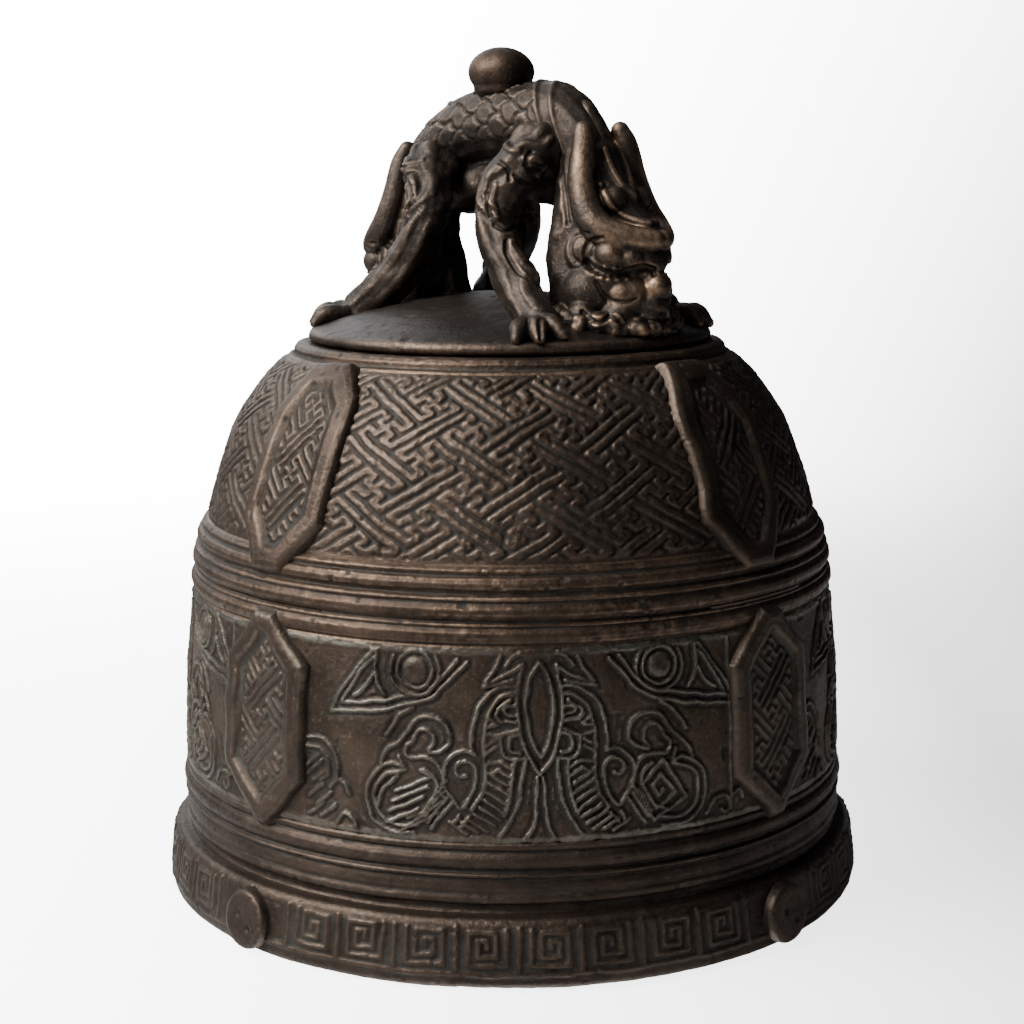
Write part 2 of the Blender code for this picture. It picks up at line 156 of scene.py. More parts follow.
tree.links.new(tree.nodes.new("ShaderNodeLightPath").outputs["Is Camera Ray"], blend.inputs[0])
tree.links.new(dim.outputs[0], blend.inputs[1])
tree.links.new(wall.outputs[0], blend.inputs[2])
tree.links.new(blend.outputs[0], out.inputs["Surface"])

# The table fades into the wall; it can't be seen from below and lets the lamp under it through. To the
# lens it glows with painted light, bright on the left and falling to painted shade on the right.
bpy.ops.mesh.primitive_circle_add(vertices=96, radius=0.9, fill_type="NGON",
                                  location=(0, 0, body_low.z - 0.3 * MM))
table = bpy.context.object
table.name = "table_top"
paper = bpy.data.materials.new("white_paper")
paper.use_nodes = True
tree = paper.node_tree
shader = tree.nodes["Principled BSDF"]
shader.inputs["Base Color"].default_value = (0.62, 0.62, 0.625, 1)
shader.inputs["Roughness"].default_value = 0.7
shader.inputs["Emission Color"].default_value = (0.97, 0.98, 1.0, 1)
where = tree.nodes.new("ShaderNodeTexCoord").outputs["Object"]
from_below = tree.nodes.new("ShaderNodeNewGeometry").outputs["Backfacing"]
ray = tree.nodes.new("ShaderNodeLightPath")
distance = worked_out(tree, "VectorMath", "LENGTH", where)
cover = remapped(tree, distance, 0.12, 0.62, 1.0, 0.0, "SMOOTHSTEP")
for unseen in (from_below, ray.outputs["Is Shadow Ray"]):
    cover = worked_out(tree, "Math", "SUBTRACT", cover, unseen)
    cover.node.use_clamp = True
tree.links.new(cover, shader.inputs["Alpha"])
# Painted light: the table glows only to the lens, brighter on the window's side than on the right.
sideways = worked_out(tree, "VectorMath", "DOT_PRODUCT", where, rightwards)
painted_table_light = remapped(tree, sideways, -0.10, 0.12, 7.4, 1.5)
painted_table_glow = worked_out(tree, "Math", "MULTIPLY", ray.outputs["Is Camera Ray"], painted_table_light)
tree.links.new(painted_table_glow, shader.inputs["Emission Strength"])
table.data.materials.append(paper)

# ---- Key-fret band and lip
# The thick lowest ring of the cast wall, which the bell stands on and is struck on. Its square
# key spirals were pressed into the wax before the pour, and its top edge is a worn ledge.
WALL_STEP = 0.30 * MM            # spacing of the fine surface
SQUARE_EDGE = math.radians(75)   # a joint between cast sections is not shaded round


def span(start, end, step=WALL_STEP):
    """Evenly spaced points from start up to, but not including, end."""
    count = max(1, round((Vector(end) - Vector(start)).length / step))
    return [tuple(Vector(start).lerp(Vector(end), i / count)) for i in range(count)]


def profile(corners, step=WALL_STEP):
    """Fine (radius, height) points along straight runs between corners in millimetres."""
    corners = [(r * MM, z * MM) for r, z in corners]
    points = []
    for start, end in zip(corners, corners[1:]):
        points += span(start, end, step)
    return points + [corners[-1]]


def rounded(points, rounds):
    """The points after a few rounds of averaging with their neighbours, ends held."""
    row = np.array(points)
    for _ in range(rounds):
        row[1:-1] = 0.25 * row[:-2] + 0.5 * row[1:-1] + 0.25 * row[2:]
    return row


def lumps(points, size, seed):
    """Smooth random values from -1 to 1 that wander over about size, for an array of points."""
    table = np.random.default_rng(seed).uniform(-1, 1, (48, 48, 48))
    cell = np.asarray(points) / size + 400.0
    low = np.floor(cell).astype(int)
    part = cell - low
    part = part * part * (3 - 2 * part)
    total = np.zeros(len(cell))
    for corner in range(8):
        upper = np.array([(corner >> k) & 1 for k in range(3)])
        index = (low + upper) % 48
        weight = np.prod(np.where(upper, part, 1 - part), axis=1)
        total += weight * table[index[:, 0], index[:, 1], index[:, 2]]
    return total


def cast_skin(points):
    """Unevenness of the casting, in metres: slow waves, pits and a fine tooth."""
    slow = lumps(points, 9 * MM, 3) * 0.10 + lumps(points, 3.2 * MM, 5) * 0.06
    fine = lumps(points, 1.1 * MM, 7) * 0.035 + lumps(points, 0.6 * MM, 11) * 0.03
    pits = np.clip(lumps(points, 1.5 * MM, 13) - 0.62, 0, 1) * -0.7
    return (slow + fine + pits) * MM


def hand_sway(across, up, size, amount):
    """How far a hand-cut stroke strays sideways and upwards, and how its height varies."""
    grid = np.stack(np.broadcast_arrays(across[None, :], up[:, None], 0.0), axis=-1).reshape(-1, 3)
    shape = (len(up), len(across))
    stray = [lumps(grid, size, seed).reshape(shape) * amount for seed in (51, 52)]
    strength = 0.80 + 0.28 * lumps(grid, size * 1.7, 53) + 0.20 * lumps(grid, 0.9, 54)
    return stray[0], stray[1], strength.reshape(shape)


def ridge_field(across, up, strokes, half, rise, soft=0.5, sway=None):
    """Height of raised strokes over a grid of places. across and up are sorted 1D arrays."""
    field = np.zeros((len(up), len(across)))
    reach = half * (1 + soft)
    for stroke in strokes:
        for (x0, y0), (x1, y1) in zip(stroke, stroke[1:]):
            i0, i1 = np.searchsorted(across, (min(x0, x1) - reach, max(x0, x1) + reach))
            j0, j1 = np.searchsorted(up, (min(y0, y1) - reach, max(y0, y1) + reach))
            if i0 >= i1 or j0 >= j1:
                continue
            gx = across[None, i0:i1] - x0
            gy = up[j0:j1, None] - y0
            if sway:
                gx = gx + sway[0][j0:j1, i0:i1]
                gy = gy + sway[1][j0:j1, i0:i1]
            dx, dy = x1 - x0, y1 - y0
            along = np.clip((gx * dx + gy * dy) / max(dx * dx + dy * dy, 1e-12), 0, 1)
            away_from = np.hypot(gx - along * dx, gy - along * dy)
            edge = np.clip((reach - away_from) / (reach - half * (1 - soft)), 0, 1)
            part = field[j0:j1, i0:i1]
            np.maximum(part, rise * edge * edge * (3 - 2 * edge), out=part)
    return field * sway[2] if sway else field


def wrapped(name, outer, inner, turn, columns, relief=None):
    """A slab of the bell's wall: fine outer points (bottom to top) and plain inner points (top
    to bottom), carried round by an angle range. relief(angles, lengths) gives extra height."""
    loop = np.array(list(outer) + list(inner) + [outer[0]])
    rows = len(loop)
    full = turn[1] - turn[0] > 359.9
    bpy.ops.mesh.primitive_grid_add(x_subdivisions=columns, y_subdivisions=rows - 1, size=2)
    piece = bpy.context.object
    piece.name = name
    flat = np.empty(len(piece.data.vertices) * 3)
    piece.data.vertices.foreach_get("co", flat)
    flat = flat.reshape(-1, 3)
    column = np.rint((flat[:, 0] + 1) / 2 * columns).astype(int)
    row = np.rint((flat[:, 1] + 1) / 2 * (rows - 1)).astype(int)
    angles = np.radians(np.linspace(turn[0], turn[1], columns + 1))
    fine = len(outer)
    slope = np.gradient(np.array(outer), axis=0)
    slope /= np.linalg.norm(slope, axis=1)[:, None]
    lengths = np.concatenate([[0], np.cumsum(np.linalg.norm(np.diff(outer, axis=0), axis=1))])
    height = np.zeros((rows, columns + 1))
    if relief:
        height[:fine] = relief(angles, lengths)
    height[-1] = height[0]
    normal = np.zeros((rows, 2))
    normal[:fine] = np.stack([slope[:, 1], -slope[:, 0]], axis=1)
    normal[-1] = normal[0]
    turn_to = angles[column % columns] if full else angles[column]
    radius, level = loop[row, 0], loop[row, 1]
    place = np.stack([radius * np.cos(turn_to), radius * np.sin(turn_to), level], axis=1)
    rise = height[row, column % columns if full else column] + cast_skin(place)
    inside = (row >= fine) & (row < rows - 1)
    rise[inside] = 0
    out_r, out_z = normal[row, 0], normal[row, 1]
    outward = np.stack([out_r * np.cos(turn_to), out_r * np.sin(turn_to), out_z], axis=1)
    place += outward * rise[:, None]
    piece.data.vertices.foreach_set("co", place.ravel())
    bpy.ops.object.mode_set(mode="EDIT")
    bpy.ops.mesh.select_all(action="SELECT")
    bpy.ops.mesh.remove_doubles(threshold=1e-6)
    if not full:
        bpy.ops.mesh.select_all(action="DESELECT")
        bpy.ops.mesh.select_mode(type="EDGE")
        bpy.ops.mesh.select_non_manifold(extend=False, use_wire=False, use_multi_face=False,
                                         use_non_contiguous=False, use_verts=False)
        bpy.ops.mesh.fill_holes(sides=0)
        bpy.ops.mesh.select_mode(type="VERT")
    bpy.ops.mesh.select_all(action="SELECT")
    bpy.ops.mesh.normals_make_consistent(inside=False)
    bpy.ops.object.mode_set(mode="OBJECT")
    piece.data.set_sharp_from_angle(angle=SQUARE_EDGE)
    return piece


def vertex_rows(piece):
    """The piece's vertex places in millimetres and its vertex normals."""
    count = len(piece.data.vertices)
    place = np.empty(count * 3)
    facing = np.empty(count * 3)
    piece.data.vertices.foreach_get("co", place)
    piece.data.vertices.foreach_get("normal", facing)
    return place.reshape(-1, 3) / MM, facing.reshape(-1, 3)


def mark_wear_and_painted_light(piece, full_scale, passes=5):
    """Store on each vertex how far it stands out of its surroundings: 0 hollow, 1 proud by full_scale
    millimetres. The bronze reads it for rubbed edges, verdigris and painted shade in the hollows, and the
    heads raise it for painted highlights."""
    mesh = piece.data
    place, facing = vertex_rows(piece)
    count = len(place)
    ends = np.empty(len(mesh.edges) * 2, int)
    mesh.edges.foreach_get("vertices", ends)
    first, second = ends[0::2], ends[1::2]
    degree = np.bincount(ends, minlength=count).clip(1)
    calm = place.copy()
    for _ in range(passes):
        total = np.stack([np.bincount(first, calm[second, k], count)
                          + np.bincount(second, calm[first, k], count) for k in range(3)], axis=1)
        calm = total / degree[:, None]
    proud = ((place - calm) * facing).sum(axis=1) / full_scale
    mark = mesh.attributes.new("wear_and_painted_light", "FLOAT", "POINT")
    mark.data.foreach_set("value", np.clip(0.5 + 0.5 * proud, 0, 1).astype(np.float32))


def bronze(name, patina, warm, worn, verdigris, green):
    """Patinated cast bronze: a dark skin that clouds into a warm one, rubbed edges, verdigris low in the
    relief, and painted shade that darkens the hollows toward black. green, from 0 to 0.75, holds back
    that painted shade and keeps the hollows from going black."""
    material = bpy.data.materials.new(name)
    material.use_nodes = True
    tree = material.node_tree
    new, link = tree.nodes.new, tree.links.new
    shader = tree.nodes["Principled BSDF"]
    where = new("ShaderNodeTexCoord").outputs["Object"]
    marks = new("ShaderNodeAttribute")
    marks.attribute_name = "wear_and_painted_light"
    wear_and_painted_light = marks.outputs["Fac"]
    painted_hollow_shade = tuple(c * 0.25 for c in patina)

    def noise(scale, detail, rough=0.6):
        node = new("ShaderNodeTexNoise")
        node.inputs["Scale"].default_value = scale
        node.inputs["Detail"].default_value = detail
        node.inputs["Roughness"].default_value = rough
        link(where, node.inputs["Vector"])
        return node.outputs["Fac"]

    def ramp(value, low, high, at_low=0.0, at_high=1.0):
        return remapped(tree, value, low, high, at_low, at_high)

    def times(a, b):
        return worked_out(tree, "Math", "MULTIPLY", a, b)

    def mixed(amount, a, b):
        node = new("ShaderNodeMix")
        node.data_type = "RGBA"
        link(amount, node.inputs["Factor"])
        for value, socket in ((a, node.inputs["A"]), (b, node.inputs["B"])):
            if isinstance(value, tuple):
                socket.default_value = (*value, 1)
            else:
                link(value, socket)
        return node.outputs["Result"]

    speckle = noise(900, 5, 0.7)
    colour = mixed(ramp(noise(85, 6), 0.36, 0.66), patina, warm)
    hollow = times(ramp(wear_and_painted_light, 0.47, 0.25), ramp(noise(140, 4), 0.32, 0.6))
    colour = mixed(times(hollow, ramp(speckle, 0.3, 0.6)), colour, verdigris)
    # Painted shade: the deepest hollows are darkened toward near black.
    colour = mixed(ramp(wear_and_painted_light, 0.44, 0.2, 0.0, 0.75 - green), colour, painted_hollow_shade)
    edge = times(ramp(wear_and_painted_light, 0.55, 0.88), ramp(noise(60, 5), 0.3, 0.62))
    edge = times(edge, ramp(noise(780, 4, 0.7), 0.36, 0.56, 0.35, 1.0))
    colour = mixed(edge, colour, worn)
    flecks = ramp(noise(1300, 3, 0.8), 0.58, 0.72, 0.0, 0.40)
    colour = mixed(flecks, colour, worn)
    link(colour, shader.inputs["Base Color"])
    link(ramp(hollow, 0.0, 1.0, 0.85, 0.25), shader.inputs["Metallic"])
    rough = mixed(edge, (0.46, 0.46, 0.46), (0.33, 0.33, 0.33))
    rough = mixed(hollow, rough, (0.78, 0.78, 0.78))
    rough = mixed(ramp(speckle, 0.3, 0.7, 0.0, 0.5), rough, (0.62, 0.62, 0.62))
    link(rough, shader.inputs["Roughness"])
    tooth = new("ShaderNodeBump")
    tooth.inputs["Strength"].default_value = 0.75
    tooth.inputs["Distance"].default_value = 0.17 * MM
    link(noise(1500, 6, 0.65), tooth.inputs["Height"])
    dents = new("ShaderNodeBump")
    dents.inputs["Strength"].default_value = 0.35
    dents.inputs["Distance"].default_value = 0.25 * MM
    link(noise(420, 4), dents.inputs["Height"])
    link(tooth.outputs["Normal"], dents.inputs["Normal"])
    link(dents.outputs["Normal"], shader.inputs["Normal"])
    return material


wall_bronze = bronze("patinated_bell_bronze", patina=(0.033, 0.024, 0.018), warm=(0.074, 0.053, 0.040),
                     worn=(0.112, 0.085, 0.066), verdigris=(0.040, 0.040, 0.034), green=0.10)


def dress(piece, material, body, slot, *nodes, relief_scale=0.11):
    """Shade a finished piece, and say what it rides on and stands for."""
    mark_wear_and_painted_light(piece, relief_scale)
    piece.data.materials.clear()
    piece.data.materials.append(material)
    piece.data.shade_smooth()
    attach(piece, body)
    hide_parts(*nodes)
    piece.select_set(False)


def rub_and_highlight(piece, amount):
    """Brighten the marks where amount, from 0 to 1 on each vertex, says hands rub; this is partly real
    rubbed wear and partly a painted highlight.
    """
    marks = piece.data.attributes["wear_and_painted_light"].data
    level = np.empty(len(marks), np.float32)
    marks.foreach_get("value", level)
    brighter = np.clip(np.maximum(level, 0.5 + 0.5 * amount), 0, 1)
    marks.foreach_set("value", brighter.astype(np.float32))


# A darker copy of the bell's bronze for the key-fret band, its mouldings and the striking bosses: painted
# shade, with the bell's foot coloured as if less light reaches it.
base_painted_shade_bronze = bronze("painted_shade_base_bronze", patina=(0.025, 0.018, 0.014), warm=(0.054, 0.039, 0.030),
                     worn=(0.080, 0.062, 0.048), verdigris=(0.036, 0.037, 0.032), green=0.12)
FULL_TURN = (0, 360)
RIM_RADIUS = 70.0                # mm
BAND_TOP = 12.9                  # mm above the lip, as are all the heights below
BAND_CORNERS = ((63.6, 0.0), (68.2, 0.0), (69.2, 0.35), (69.8, 1.1), (70.0, 2.6), (69.9, 4.0),
                (68.9, 11.2), (68.5, 12.0), (67.9, 12.5), (66.8, 12.7), (66.0, BAND_TOP))
KEY_PITCH = 9.2                  # degrees from one spiral to the next
KEY_CENTRE_Z = 7.7
KEY_UNIT = 1.66                  # mm from one turn of a spiral to the next
KEY_COUNT = 8                    # spirals between two bosses
KEY_SPIRAL = ((-2, 1.9), (-2, -1.8), (2, -1.8), (2, 1.7), (-1, 1.7), (-1, -0.9), (1, -0.9),
              (1, 0.8), (0, 0.8), (0, 0.1))
KEY_BORDER_Z = 3.1
BAR_ENDS_Z = (3.8, 11.2)


def key_spirals(angles, lengths):
    """Eight square spirals between neighbouring bosses, ruled off by upright bars."""
    across = angles * RIM_RADIUS
    up = band_outer[:, 1] / MM
    strokes = []
    for quarter in range(4):
        middle = quarter * 90 + 45
        for place in range(KEY_COUNT):
            x = math.radians(middle + (place - (KEY_COUNT - 1) / 2) * KEY_PITCH) * RIM_RADIUS
            hand = -1 if place % 2 else 1
            strokes.append([(x + a * KEY_UNIT * hand, KEY_CENTRE_Z + b * KEY_UNIT)
                            for a, b in KEY_SPIRAL])
        for place in range(KEY_COUNT + 1):
            x = math.radians(middle + (place - KEY_COUNT / 2) * KEY_PITCH) * RIM_RADIUS
            strokes.append([(x, z) for z in BAR_ENDS_Z])
    sway = hand_sway(across, up, 3.0, 0.16)
    keys = ridge_field(across, up, strokes, half=0.42, rise=0.42, soft=0.6, sway=sway)
    border = [[(-10, KEY_BORDER_Z), (460, KEY_BORDER_Z)]]
    border = ridge_field(across, up, border, half=0.4, rise=0.35, soft=0.6, sway=sway)
    return np.maximum(keys, border) * MM


band_outer = rounded(profile(BAND_CORNERS), 2)
band_inner = profile(((64.0, BAND_TOP), (63.6, 6.0)), 3 * MM)
fret_band = wrapped("key_fret_band", band_outer, band_inner, FULL_TURN, 1120, key_spirals)
dress(fret_band, base_painted_shade_bronze, "root", "cast_bronze", "bell_body")

# ---- Base mouldings
# Turned steps in the wax between the struck band and the waist: a hollow, two fine beads, a
# broad round moulding and the panel's lower border, cast in one with the wall.
WAIST_FOOT = 25.8
BASE_CORNERS = ((66.0, BAND_TOP), (65.7, 13.6), (65.9, 14.4), (66.6, 15.0), (66.7, 15.8), (66.3, 16.6),
                (66.5, 17.4), (66.35, 18.4), (66.1, 19.2), (66.7, 19.7), (66.75, 20.1), (66.1, 20.5),
                (66.0, 20.8), (66.6, 21.4), (66.9, 22.2), (66.85, 23.0), (66.4, 23.8), (65.9, 24.2),
                (66.35, 24.7), (66.4, 25.4), (66.0, WAIST_FOOT))
base_outer = rounded(profile(BASE_CORNERS, 0.2 * MM), 1)
base_inner = profile(((62.4, WAIST_FOOT), (64.0, BAND_TOP)), 4 * MM)
base = wrapped("base_mouldings", base_outer, base_inner, FULL_TURN, 600)
dress(base, base_painted_shade_bronze, "root", "cast_bronze", "bell_body")

# ---- Waist panels
# Four panels of low cast relief round the waist, each an animal mask spread flat on both sides
# of a leaf-shaped nose, between clouds and key hatching. They lie between the lower cartouches.
WAIST_RADIUS = 66.0              # mm
ROLL_FOOT = 60.2
WAIST_CORNERS = ((66.0, WAIST_FOOT), (65.9, 30.0), (65.8, 36.0), (65.3, 45.0), (64.6, 52.0),
                 (64.1, 57.0), (63.85, ROLL_FOOT))
PANEL_SIDES = ("north_east", "north_west", "south_west", "south_east")
MASK_SHIFT = 4.0                 # mm from the panel's middle to the mask's


def curve_through(points, per_span=5):
    """A smooth stroke through given points."""
    ends = [points[0]] + list(points) + [points[-1]]
    result = []
    for i in range(1, len(ends) - 2):
        p0, p1, p2, p3 = (Vector(ends[i + k - 1]) for k in range(4))
        for step in range(per_span):
            t = step / per_span
            result.append(tuple(0.5 * (2 * p1 + (p2 - p0) * t + (2 * p0 - 5 * p1 + 4 * p2 - p3) * t ** 2
                                       + (3 * p1 - p0 - 3 * p2 + p3) * t ** 3)))
    return result + [tuple(points[-1])]


NOSE_LEAF = (((0, 38.2), (1.3, 39.8), (2.7, 42.6), (3.5, 46), (3.9, 50), (3.7, 54), (3.0, 57.4)),
             ((0, 41.2), (1.3, 43.6), (2.1, 47), (2.4, 51), (1.8, 54.6), (0.3, 57.7)),
             ((0.6, 37.5), (0.8, 33.5), (1.2, 29.6), (2.9, 26.4)))
LOBE = (((3.8, 53.8), (7, 53.3), (9.2, 52), (10.8, 50), (11.8, 46.8), (12, 43.6), (11.7, 41.8)),
        ((4.2, 52.4), (6.8, 51.7), (8.6, 49.9), (9.6, 46.6), (9.8, 42), (9.7, 37.2), (10.4, 34.4),
         (12.2, 31.9)),
        ((2.8, 41), (3.1, 38), (3.8, 34), (5, 30.8), (6.4, 28.2), (7.4, 27)),
        ((4.7, 40.4), (4.9, 37), (5.5, 33.8), (6.6, 31)),
        ((4.2, 50.4), (5.7, 50.3), (6.3, 49.5), (5.6, 48.8), (4.2, 48.7)),
        ((4.2, 46.2), (6.8, 45.1), (9.4, 45.5)),
        ((3.7, 45.6), (5.1, 45), (5.6, 43.6), (5.1, 42.3), (3.6, 42)),
        ((6.9, 44.9), (7, 43.2), (6.3, 41.5), (5, 40.9), (2.9, 41.1)))
LOBE_HATCH = (((5.0, 51.3), (7.4, 49.7), (7.9, 48.6), (7.0, 47.7), (4.4, 47.6)),
              ((9.2, 48.2), (7.6, 46.9), (9.3, 46.6)),
              ((7.6, 44.5), (9.5, 43.2)), ((7.8, 43.1), (9.5, 41.9)),
              ((4.9, 39.2), (6.7, 40.4), (9.1, 40.2)), ((5.4, 37.9), (7.2, 39.2), (8.6, 38.4)),
              ((5.8, 36.3), (9.2, 38.6)), ((5.8, 34.7), (9.4, 37.1)),
              ((6.2, 33.1), (9.6, 35.4)), ((6.7, 31.6), (9.9, 33.8)), ((7.3, 30.2), (10.7, 32.4)),
              ((8.2, 29.0), (11.8, 31.3)), ((9.4, 27.9), (12.8, 30.2)), ((11.2, 27.8), (14, 29.6)),
              ((13.0, 27.6), (16.2, 29.4)), ((12.6, 30.6), (13.9, 28.9)), ((14.4, 30.6), (15.6, 29.0)))
HEART = (((11.8, 41.9), (13.6, 42.2), (15.5, 41.3), (16.7, 39.7), (17, 37.6), (16.4, 35.2),
          (15.3, 33.4), (14, 32), (12.6, 33.4), (11.5, 35.8), (11.2, 38), (11.6, 39.7),
          (12.8, 40.4), (14.3, 40), (15, 38.7), (14.2, 37.5), (13, 37.8)),)
CLOUDS = (((19.6, 41.6), (17.6, 42), (16.2, 43.3), (15.9, 45), (16.7, 46.8), (18.5, 47.8), (20.7, 47.9),
           (22.6, 47), (23.8, 45.2), (25, 43.6), (26.8, 42.2), (28.1, 40.6), (28.5, 38.8)),
          ((19.8, 42.1), (18.9, 43.3), (18.9, 44.8), (20, 45.9), (21.4, 45.8), (22.3, 44.7), (22.7, 43.3),
           (23.9, 42.4), (23.9, 41), (22.6, 40.4), (20.4, 40.7), (18.4, 40), (17.3, 38.3), (16.8, 36)),
          ((25.3, 40.8), (24.5, 39), (26.4, 39.4), (28.6, 38.2), (30.3, 36.8), (31.3, 34.6), (31.3, 32),
           (30.4, 29.6), (28.6, 27.9), (25.8, 27), (22.4, 27.1)),
          ((24.2, 38.4), (27.2, 37.4), (29.2, 35.8), (29.9, 33.4), (29.4, 30.9), (27.8, 29.2), (25, 28.3),
           (21.6, 28.8)),
          ((20.4, 38.8), (18.6, 37.4), (18.3, 35.4), (19.4, 33), (21.2, 31.2), (23.6, 29.9)),
          ((22.6, 49.4), (24.6, 48.2), (26.3, 46.2), (27.6, 44.2)))
EYE = (((-38.8, 47.4), (-34, 47.9), (-29, 48.6), (-24, 49.7), (-20, 50.9), (-16.6, 53.7), (-12.8, 57.9)),
       ((-36.6, 49.1), (-31, 49.9), (-25.6, 50.9), (-20.8, 52), (-17.4, 54.8), (-14.6, 58.2)),
       ((-38.8, 47.4), (-36.9, 51.2), (-33.8, 55.4), (-30.6, 59.2)),
       ((-36.6, 49.1), (-34.6, 52.6), (-32, 56.4), (-30.6, 58)),
       ((-29.9, 59.2), (-30.2, 56.4), (-29.6, 53.8), (-28.2, 51.6)),
       ((-34.2, 50.6), (-31.6, 52.8), (-30.4, 55)))
BROW = (((-7, 58.8), (-8, 56.6), (-9.7, 54.2), (-6.4, 55.3), (-3.4, 57.1)),
        ((-6, 57.2), (-4.8, 58.8), (-3.2, 59.6)),
        ((-10, 53.5), (-7.4, 54.0), (-4.6, 54.6)))
SIDE_CLOUD = (((-44, 42), (-41, 42.2), (-38.6, 40.8), (-37.2, 38.4), (-37.4, 35.6), (-38.8, 33.6)),
              ((-44, 40.3), (-41.2, 40.3), (-39.4, 38.6), (-39.4, 36), (-41, 34.6)),
              ((31.8, 28.0), (33.6, 30.4), (36.0, 30.6), (37.2, 28.8), (36.2, 27.4), (34.8, 28.2)),
              ((37.6, 30.4), (39.6, 31.2), (40.4, 29.4)),
              ((-37.6, 35.6), (-35.4, 34.4), (-34.8, 32.8)),
              ((-33.4, 26.4), (-33.8, 28.2), (-35.4, 29.4), (-37, 28.4), (-38, 26.4)))
SIDE_HATCH = ((-44, 37), (-44, 35.4), (-43, 33.8), (-43.6, 31.4), (-42, 30), (-43.6, 28), (-41, 28))
LEFT_CLOUD_RIM = ([(-29.4, 31.4), (-28.2, 34.6), (-25.6, 37.4)],
                  [(-21.0, 38.6), (-18.2, 37.0), (-17.2, 34.0)])
PANEL_END = [[(41.4, 28), (41.4, 59.3)]]
PANEL_BORDERS = [[(-60, 26.6), (60, 26.6)], [(-60, 59.4), (60, 59.4)]]
RHOMB = (21.9, 34.2)
IRIS = (-22.4, 56.1)
waist_bronze = bronze("dusty_waist_bronze", patina=(0.033, 0.024, 0.018), warm=(0.082, 0.057, 0.042),
                      worn=(0.150, 0.148, 0.128), verdigris=(0.036, 0.037, 0.031), green=0.15)


def rhomb_spiral():
    """Nested slanting rhombs, each turn opening into the next."""
    corners = ((1.35, -0.55), (-0.25, -1.35), (-1.2, 0.35), (0.15, 1.45))
    points = []
    for turn in range(11):
        size = 0.55 + 0.42 * turn
        cx, cy = corners[turn % 4]
        points.append((RHOMB[0] + cx * size, RHOMB[1] + cy * size))
    return points


def ring(centre, radius, start=0, end=360):
    """Part of a circle, between two angles in degrees."""
    angles = [math.radians(start + (end - start) * i / 20) for i in range(21)]
    return [(centre[0] + radius * math.cos(a), centre[1] + radius * math.sin(a)) for a in angles]


def mask_relief(angles, lengths):
    """The mask, which is the same on both sides of its nose but for what fills its clouds."""
    across = (angles - angles.mean()) * WAIST_RADIUS
    up = lengths / MM + WAIST_FOOT
    both_sides = [curve_through(s) for s in NOSE_LEAF + LOBE + HEART + CLOUDS]
    both_sides += LOBE_HATCH
    both_sides += [[(16.0 + 0.9 * k, 33.6 + 0.5 * k), (19.4 + 0.5 * k, 28.7 + 0.9 * k)]
                   for k in (-0.6, 0.6, 1.8)]
    eye_and_brow = [curve_through(s) for s in EYE + BROW]
    eye_and_brow += [ring(IRIS, 4.6, 150, 396), ring(IRIS, 3.3)]
    strokes = []
    for side in (1, -1):
        strokes += [[(x * side, y) for x, y in s] for s in both_sides]
        strokes += [[(-x * side, y) for x, y in s] for s in eye_and_brow]
    for k in range(4):
        strokes.append([(-27.6 + 0.5 * k, 28.6 + 1.9 * k), (-21.4 + 0.7 * k, 31.8 + 1.9 * k)])
        strokes.append([(-24.6 + 0.9 * k, 27.6 + 0.7 * k), (-18.0 + 0.5 * k, 31.0 + 2.0 * k)])
    strokes += [*LEFT_CLOUD_RIM, rhomb_spiral()]
    strokes += [curve_through(s) for s in SIDE_CLOUD]
    strokes += [[(x, y), (x + 3.2, y + 2.6)] for x, y in SIDE_HATCH]
    strokes = [[(x + MASK_SHIFT, y) for x, y in s] for s in strokes]
    sway = hand_sway(across, up, 2.4, 0.24)
    field = ridge_field(across, up, strokes, half=0.32, rise=0.52, soft=0.8, sway=sway)
    panel_end = ridge_field(across, up, PANEL_END, half=0.4, rise=0.4, soft=0.6, sway=sway)
    borders = ridge_field(across, up, PANEL_BORDERS, half=0.5, rise=0.18, soft=0.8, sway=sway)
    field = np.maximum(np.maximum(field, panel_end), borders)
    for side in (1, -1):
        from_pupil = np.hypot(across[None, :] - MASK_SHIFT - IRIS[0] * side, up[:, None] - IRIS[1])
        field = np.maximum(field, 0.55 * np.clip(1 - (from_pupil / 2.6) ** 4, 0, 1))
    dip = ridge_field(across, up, strokes, half=1.0, rise=0.2, soft=0.6, sway=sway)
    return (field - dip * (field < 0.1)) * MM


waist_outer = rounded(profile(WAIST_CORNERS), 6)
waist_inner = profile(((60.2, ROLL_FOOT), (61.7, 45.0), (62.3, 34.0), (62.4, WAIST_FOOT)), 6 * MM)
for quarter, side in enumerate(PANEL_SIDES):
    turn = (quarter * 90, quarter * 90 + 90)
    panel = wrapped(f"waist_panel_{side}", waist_outer, waist_inner, turn, 320, mask_relief)
    dress(panel, waist_bronze, "root", "cast_bronze", "bell_body")

